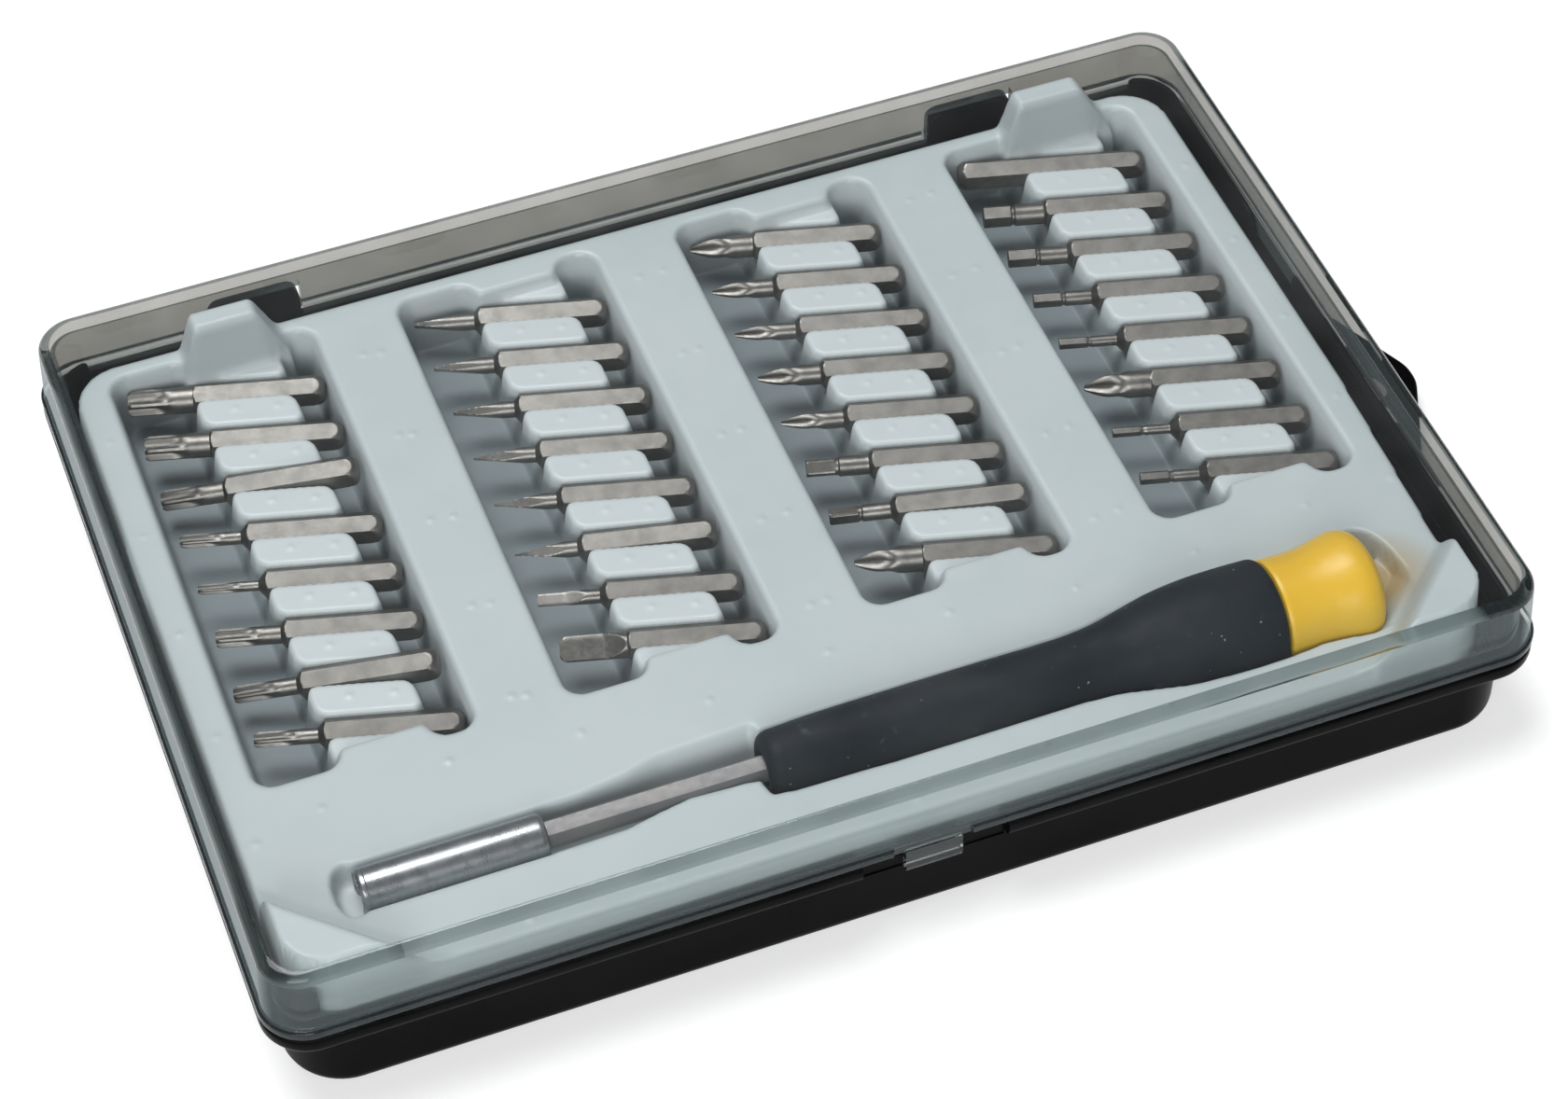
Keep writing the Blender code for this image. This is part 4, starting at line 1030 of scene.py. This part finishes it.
# Each blade: width, thickness, neck radius, turn in degrees, start and length of its flats, nose.
BLADES = (
    (2.4, 0.40, 1.25, 42.0, 20.9, 7.0, 0.1), (2.1, 0.36, 1.2, 42.0, 20.9, 7.0, 0.1),
    (1.8, 0.32, 1.2, 42.0, 20.9, 7.0, 0.1), (1.5, 0.28, 1.15, 44.0, 20.9, 6.9, 0.1),
    (1.2, 0.26, 1.15, 44.0, 20.9, 6.9, 0.1), (1.0, 0.24, 1.15, 46.0, 20.9, 6.9, 0.1),
    (1.7, 0.45, 1.0, 120.0, 21.4, 2.9, 0.1), (3.5, 0.80, 1.78, 128.0, 19.0, 3.0, 1.3),
)
CROSSES = (1.7, 1.35, 1.25, 1.5, 1.3, 1.9, 1.95)
SQUARES = ((2.3, 0.0), (1.9, math.pi / 4.0))
HEXAGONS = (4.0, 3.0, 2.5, 2.0, 1.5, 1.3, 1.6)


def tip_radius(name, angle, along):
    """Radius of a bit's working end, by the kind and number in its name."""
    kind, number = name.split("_")[1], int(name.split("_")[2]) - 1
    if kind == "star":
        return star_tip(angle, along, STARS[number])
    if kind == "slotted":
        width, thickness, neck, turn, start, run, nose = BLADES[number]
        return blade_tip(angle, along, width, thickness, neck, math.radians(turn), start, run, nose)
    if kind == "cross":
        return cross_tip(angle, along, CROSSES[number])
    if kind == "square":
        flats, turn = SQUARES[number]
        return polygon_tip(angle, along, 4, flats, 0.62 * flats, turn)
    if number == 0:
        return np.full_like(angle + along, 2.5) - 0.75 * np.clip(along - 26.6, 0.0, 1.4)
    flats = HEXAGONS[number]
    return polygon_tip(angle, along, 6, flats, 0.54 * flats)


def bit_axis(node):
    """The middle of a bit's hexagon end and of its tip, from its CAD node."""
    lie = Vector((math.cos(math.pi + SLANT), math.sin(math.pi + SLANT), 0.0))
    points = [vertex.co / MM for vertex in node.data.vertices]
    reach = [point.dot(lie) for point in points]
    ends = []
    for limit in (min(reach), max(reach)):
        close = [point for point, at in zip(points, reach) if abs(at - limit) < 0.36]
        ends.append(sum(close, Vector()) / len(close))
    return ends


def bit_stations(length):
    """Distances along a bit where its rings lie: close together at the dome, shoulder and tip."""
    return np.concatenate([
        np.linspace(0.0, 0.3, 5), np.linspace(0.4, 2.4, 18), [6.0, 10.0, 14.0, 17.8],
        np.linspace(18.2, TIP_START, 23), np.linspace(21.25, length - 0.6, 26),
        np.linspace(length - 0.5, length, 6),
    ])


def make_bit(name, node, material):
    """A bit with a domed hexagon end, a hexagon shank, a conical shoulder and its own tip."""
    start, end = bit_axis(node)
    length = (end - start).length
    lie = (end - start).normalized()
    front = lie.cross(Vector((0.0, 0.0, 1.0))).normalized()
    if front.y > 0.0:
        front = -front
    up = front.cross(lie)
    if up.z < 0.0:
        up = -up
    stations = bit_stations(length)
    angle = np.linspace(0.0, math.tau, BIT_TURNS, endpoint=False)[None, :]
    along = stations[:, None]
    hexagon = corner_radius(angle, 6, BIT_FLATS)
    bulge = np.sqrt(1.0 - (1.0 - np.minimum(along / DOME_LENGTH, 1.0)) ** 2)
    shank = np.minimum(hexagon, DOME_RADII[0] + (DOME_RADII[1] - DOME_RADII[0]) * bulge)
    tip = tip_radius(name, angle, along)
    neck = float(tip_radius(name, angle, np.array([[TIP_START - 0.1]])).max())
    cone = DOME_RADII[1] - np.clip(along - SHOULDER, 0.0, None) * SHOULDER_SLOPE
    if name == "bit_hex_1":
        radius = np.minimum(shank, tip)
    else:
        radius = np.minimum(shank, np.maximum(cone, tip))
        radius = np.where(along > SHOULDER, np.minimum(radius, np.maximum(cone, neck)), radius)
        radius = np.where(along > TIP_START, tip, radius)
    radius = np.broadcast_to(radius, (len(stations), BIT_TURNS))
    rings = []
    for index, distance in enumerate(stations):
        ring = []
        for step in range(BIT_TURNS):
            turn = angle[0, step] - BIT_ROLL
            out = up * math.cos(turn) + front * math.sin(turn)
            ring.append(tuple(start + lie * float(distance) + out * float(radius[index, step])))
        rings.append(ring)
    bit = loft_piece(name + "_fine", rings, material, "case", 24.0)
    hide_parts(name)


# ---------------------------------------------------------------- driver


def driver_axis():
    """The driver's axis as (y, z)."""
    low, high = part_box("driver_grip")
    return ((low.y + high.y) / 2.0 / MM, (low.z + high.z) / 2.0 / MM)


def make_sleeve(material):
    """A turned sleeve with chamfered ends, a fine groove and a hexagon pocket."""
    low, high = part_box("bit_socket")
    x0, x1 = low.x / MM, high.x / MM
    radius = (high.y - low.y) / 2.0 / MM
    centre = driver_axis()
    pocket = []
    angles = [math.tau * step / DRIVER_TURNS for step in range(DRIVER_TURNS)]
    for x, flats in ((x0 + 12.0, 4.2), (x0 + 11.9, 4.3), (x0 + 0.6, 4.3), (x0 + 0.15, 4.7)):
        pocket.append([around(x, centre, float(corner_radius(a, 6, flats)), a) for a in angles])
    front = (
        (0.0, 0.38), (0.12, 0.22), (0.4, 0.02), (0.6, 0.0), (0.9, 0.0), (0.98, 0.05), (1.06, 0.0),
    )
    back = ((0.9, 0.0), (0.6, 0.01), (0.25, 0.12), (0.05, 0.35), (0.0, 0.5))
    outside = [(x0, 2.75)]
    outside += [(x0 + step, radius - inset) for step, inset in front]
    outside += [(x1 - step, radius - inset) for step, inset in back]
    outside += [(x1, 2.1), (x1 - 0.6, 2.02)]
    rings = pocket + circle_rings(outside, centre, DRIVER_TURNS)
    sleeve = loft_piece("sleeve", rings, material, "case", 30.0)
    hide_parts("bit_socket")


def make_shaft(material):
    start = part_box("bit_socket")[1].x / MM - 0.5
    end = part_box("driver_shaft")[1].x / MM
    centre = driver_axis()
    rings = []
    for x in (start, end):
        ring = []
        for corner in range(6):
            for offset in (-0.055, 0.0, 0.055):
                angle = SHAFT_TURN + corner * math.pi / 3.0 + offset
                reach = float(corner_radius(angle, 6, SHAFT_FLATS, SHAFT_TURN))
                if offset == 0.0:
                    reach -= 0.02
                ring.append(around(x, centre, reach, angle))
        rings.append(ring)
    shaft = loft_piece("shaft", rings, material, "case", 40.0)
    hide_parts("driver_shaft")


def make_grip(material):
    low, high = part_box("driver_grip")
    x0, x1 = low.x / MM, high.x / MM
    outline = [
        (x0 + 1.6, 4.75), (x0 + 8.0, 5.02), (0.0, 5.1), (14.0, 5.12), (24.0, 5.05), (28.0, 5.12),
        (32.0, 5.55), (36.5, 6.5), (41.0, 7.4), (46.0, 7.86), (51.0, 7.94), (x1 - 0.9, 7.86),
    ]
    profile = [
        (x0 + 3.0, 2.32), (x0 + 0.3, 2.32), (x0, 2.6), (x0, 3.3), (x0 + 0.15, 3.75), (x0 + 0.5, 4.25),
        (x0 + 0.95, 4.55),
    ]
    profile += smooth_curve(outline, 8)
    profile += [(x1 - 0.5, 7.78), (x1 - 0.2, 7.6), (x1, 7.35), (x1, 3.8), (x1 - 1.5, 3.7)]
    grip = loft_piece("grip", circle_rings(profile, driver_axis(), DRIVER_TURNS), material, "case", 40.0)
    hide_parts("driver_grip")


def make_cap(material):
    low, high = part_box("swivel_cap")
    x0, x1 = low.x / MM, high.x / MM
    outline = [
        (x0 + 0.45, 7.36), (x0 + 2.5, 7.27), (x0 + 4.6, 7.26), (x0 + 6.6, 7.42), (x0 + 8.6, 7.8),
        (x0 + 10.2, 8.14), (x0 + 11.4, 8.24), (x1 - 2.4, 8.05), (x1 - 1.4, 7.5), (x1 - 0.7, 6.5),
        (x1 - 0.25, 5.0), (x1 - 0.06, 3.0),
    ]
    profile = [(x0 + 2.0, 1.8), (x0, 1.8), (x0, 6.9), (x0 + 0.12, 7.2)]
    profile += smooth_curve(outline, 7) + [(x1, 0.6)]
    cap = loft_piece("cap", circle_rings(profile, driver_axis(), DRIVER_TURNS), material, "cap", 40.0)
    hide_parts("swivel_cap")


# ---------------------------------------------------------------- stage


def make_floor(material):
    size = 1.6
    mesh = bpy.data.meshes.new("floor")
    corners = [(-size, -size, 0.0), (size, -size, 0.0), (size, size, 0.0), (-size, size, 0.0)]
    mesh.from_pydata(corners, [], [(0, 1, 2, 3)])
    mesh.materials.append(material)
    floor = put("floor", mesh)
    floor.location.z = -0.0002


def add_area(name, place, aim, size, watts, colour=(1.0, 1.0, 1.0)):
    lamp = bpy.data.lights.new(name, "AREA")
    lamp.shape = "RECTANGLE"
    lamp.size, lamp.size_y = size
    lamp.energy = watts
    lamp.color = colour
    holder = put(name, lamp)
    holder.location = place
    holder.rotation_mode = "QUATERNION"
    holder.rotation_quaternion = (Vector(aim) - Vector(place)).to_track_quat("-Z", "Y")


def make_lights():
    world = bpy.data.worlds.new("studio")
    world.use_nodes = True
    background = world.node_tree.nodes["Background"]
    background.inputs["Color"].default_value = (0.93, 0.96, 1.0, 1.0)
    background.inputs["Strength"].default_value = 0.22
    bpy.context.scene.world = world
    add_area("overhead", (-0.22, 0.40, 1.5), (0.0, 0.0, 0.0), (0.9, 0.85), 19.0)
    add_area("front_fill", (-0.6, -1.2, 0.7), (0.0, 0.0, 0.0), (1.0, 0.6), 12.0)


def make_camera():
    azimuth, elevation = math.radians(VIEW_AZIMUTH), math.radians(VIEW_ELEVATION)
    roll = math.radians(VIEW_ROLL)
    back = Vector((
        math.sin(azimuth) * math.cos(elevation),
        -math.cos(azimuth) * math.cos(elevation),
        math.sin(elevation),
    ))
    right = (-back).cross(Vector((0.0, 0.0, 1.0))).normalized()
    up = right.cross(-back)
    rolled_right = right * math.cos(roll) + up * math.sin(roll)
    rolled_up = up * math.cos(roll) - right * math.sin(roll)
    camera = bpy.data.cameras.new("camera")
    camera.lens = VIEW_LENS
    camera.sensor_width = 36.0
    holder = put("camera", camera)
    frame_axes = Matrix((rolled_right, rolled_up, back)).transposed().to_4x4()
    place = (Vector(VIEW_TARGET) + back * VIEW_DISTANCE) * MM
    holder.matrix_world = Matrix.Translation(place) @ frame_axes
    bpy.context.scene.camera = holder


def main():
    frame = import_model()
    bpy.context.scene.view_settings.view_transform = "Standard"
    black, steel, grey_steel = black_plastic(), tool_steel(), shaft_steel()
    make_base(black)
    make_lips(black)
    make_lugs(black)
    make_lid(clear_wall(), clear_roof(), clear_edge())
    make_hang_tab(black)
    make_tray(white_sheet())
    for name, node in sorted(frame["nodes"].items()):
        if name.startswith("bit_") and name != "bit_socket":
            make_bit(name, node, steel)
    make_sleeve(bare_aluminium())
    make_shaft(grey_steel)
    make_grip(soft_rubber())
    make_cap(cap_yellow())
    kept_nodes = (("socket_magnet", grey_steel), ("swivel_pin", grey_steel), ("driver_core", black))
    for name, material in kept_nodes:
        frame["nodes"][name].data.materials.clear()
        frame["nodes"][name].data.materials.append(material)
    make_floor(floor_white())
    make_lights()
    make_camera()


main()
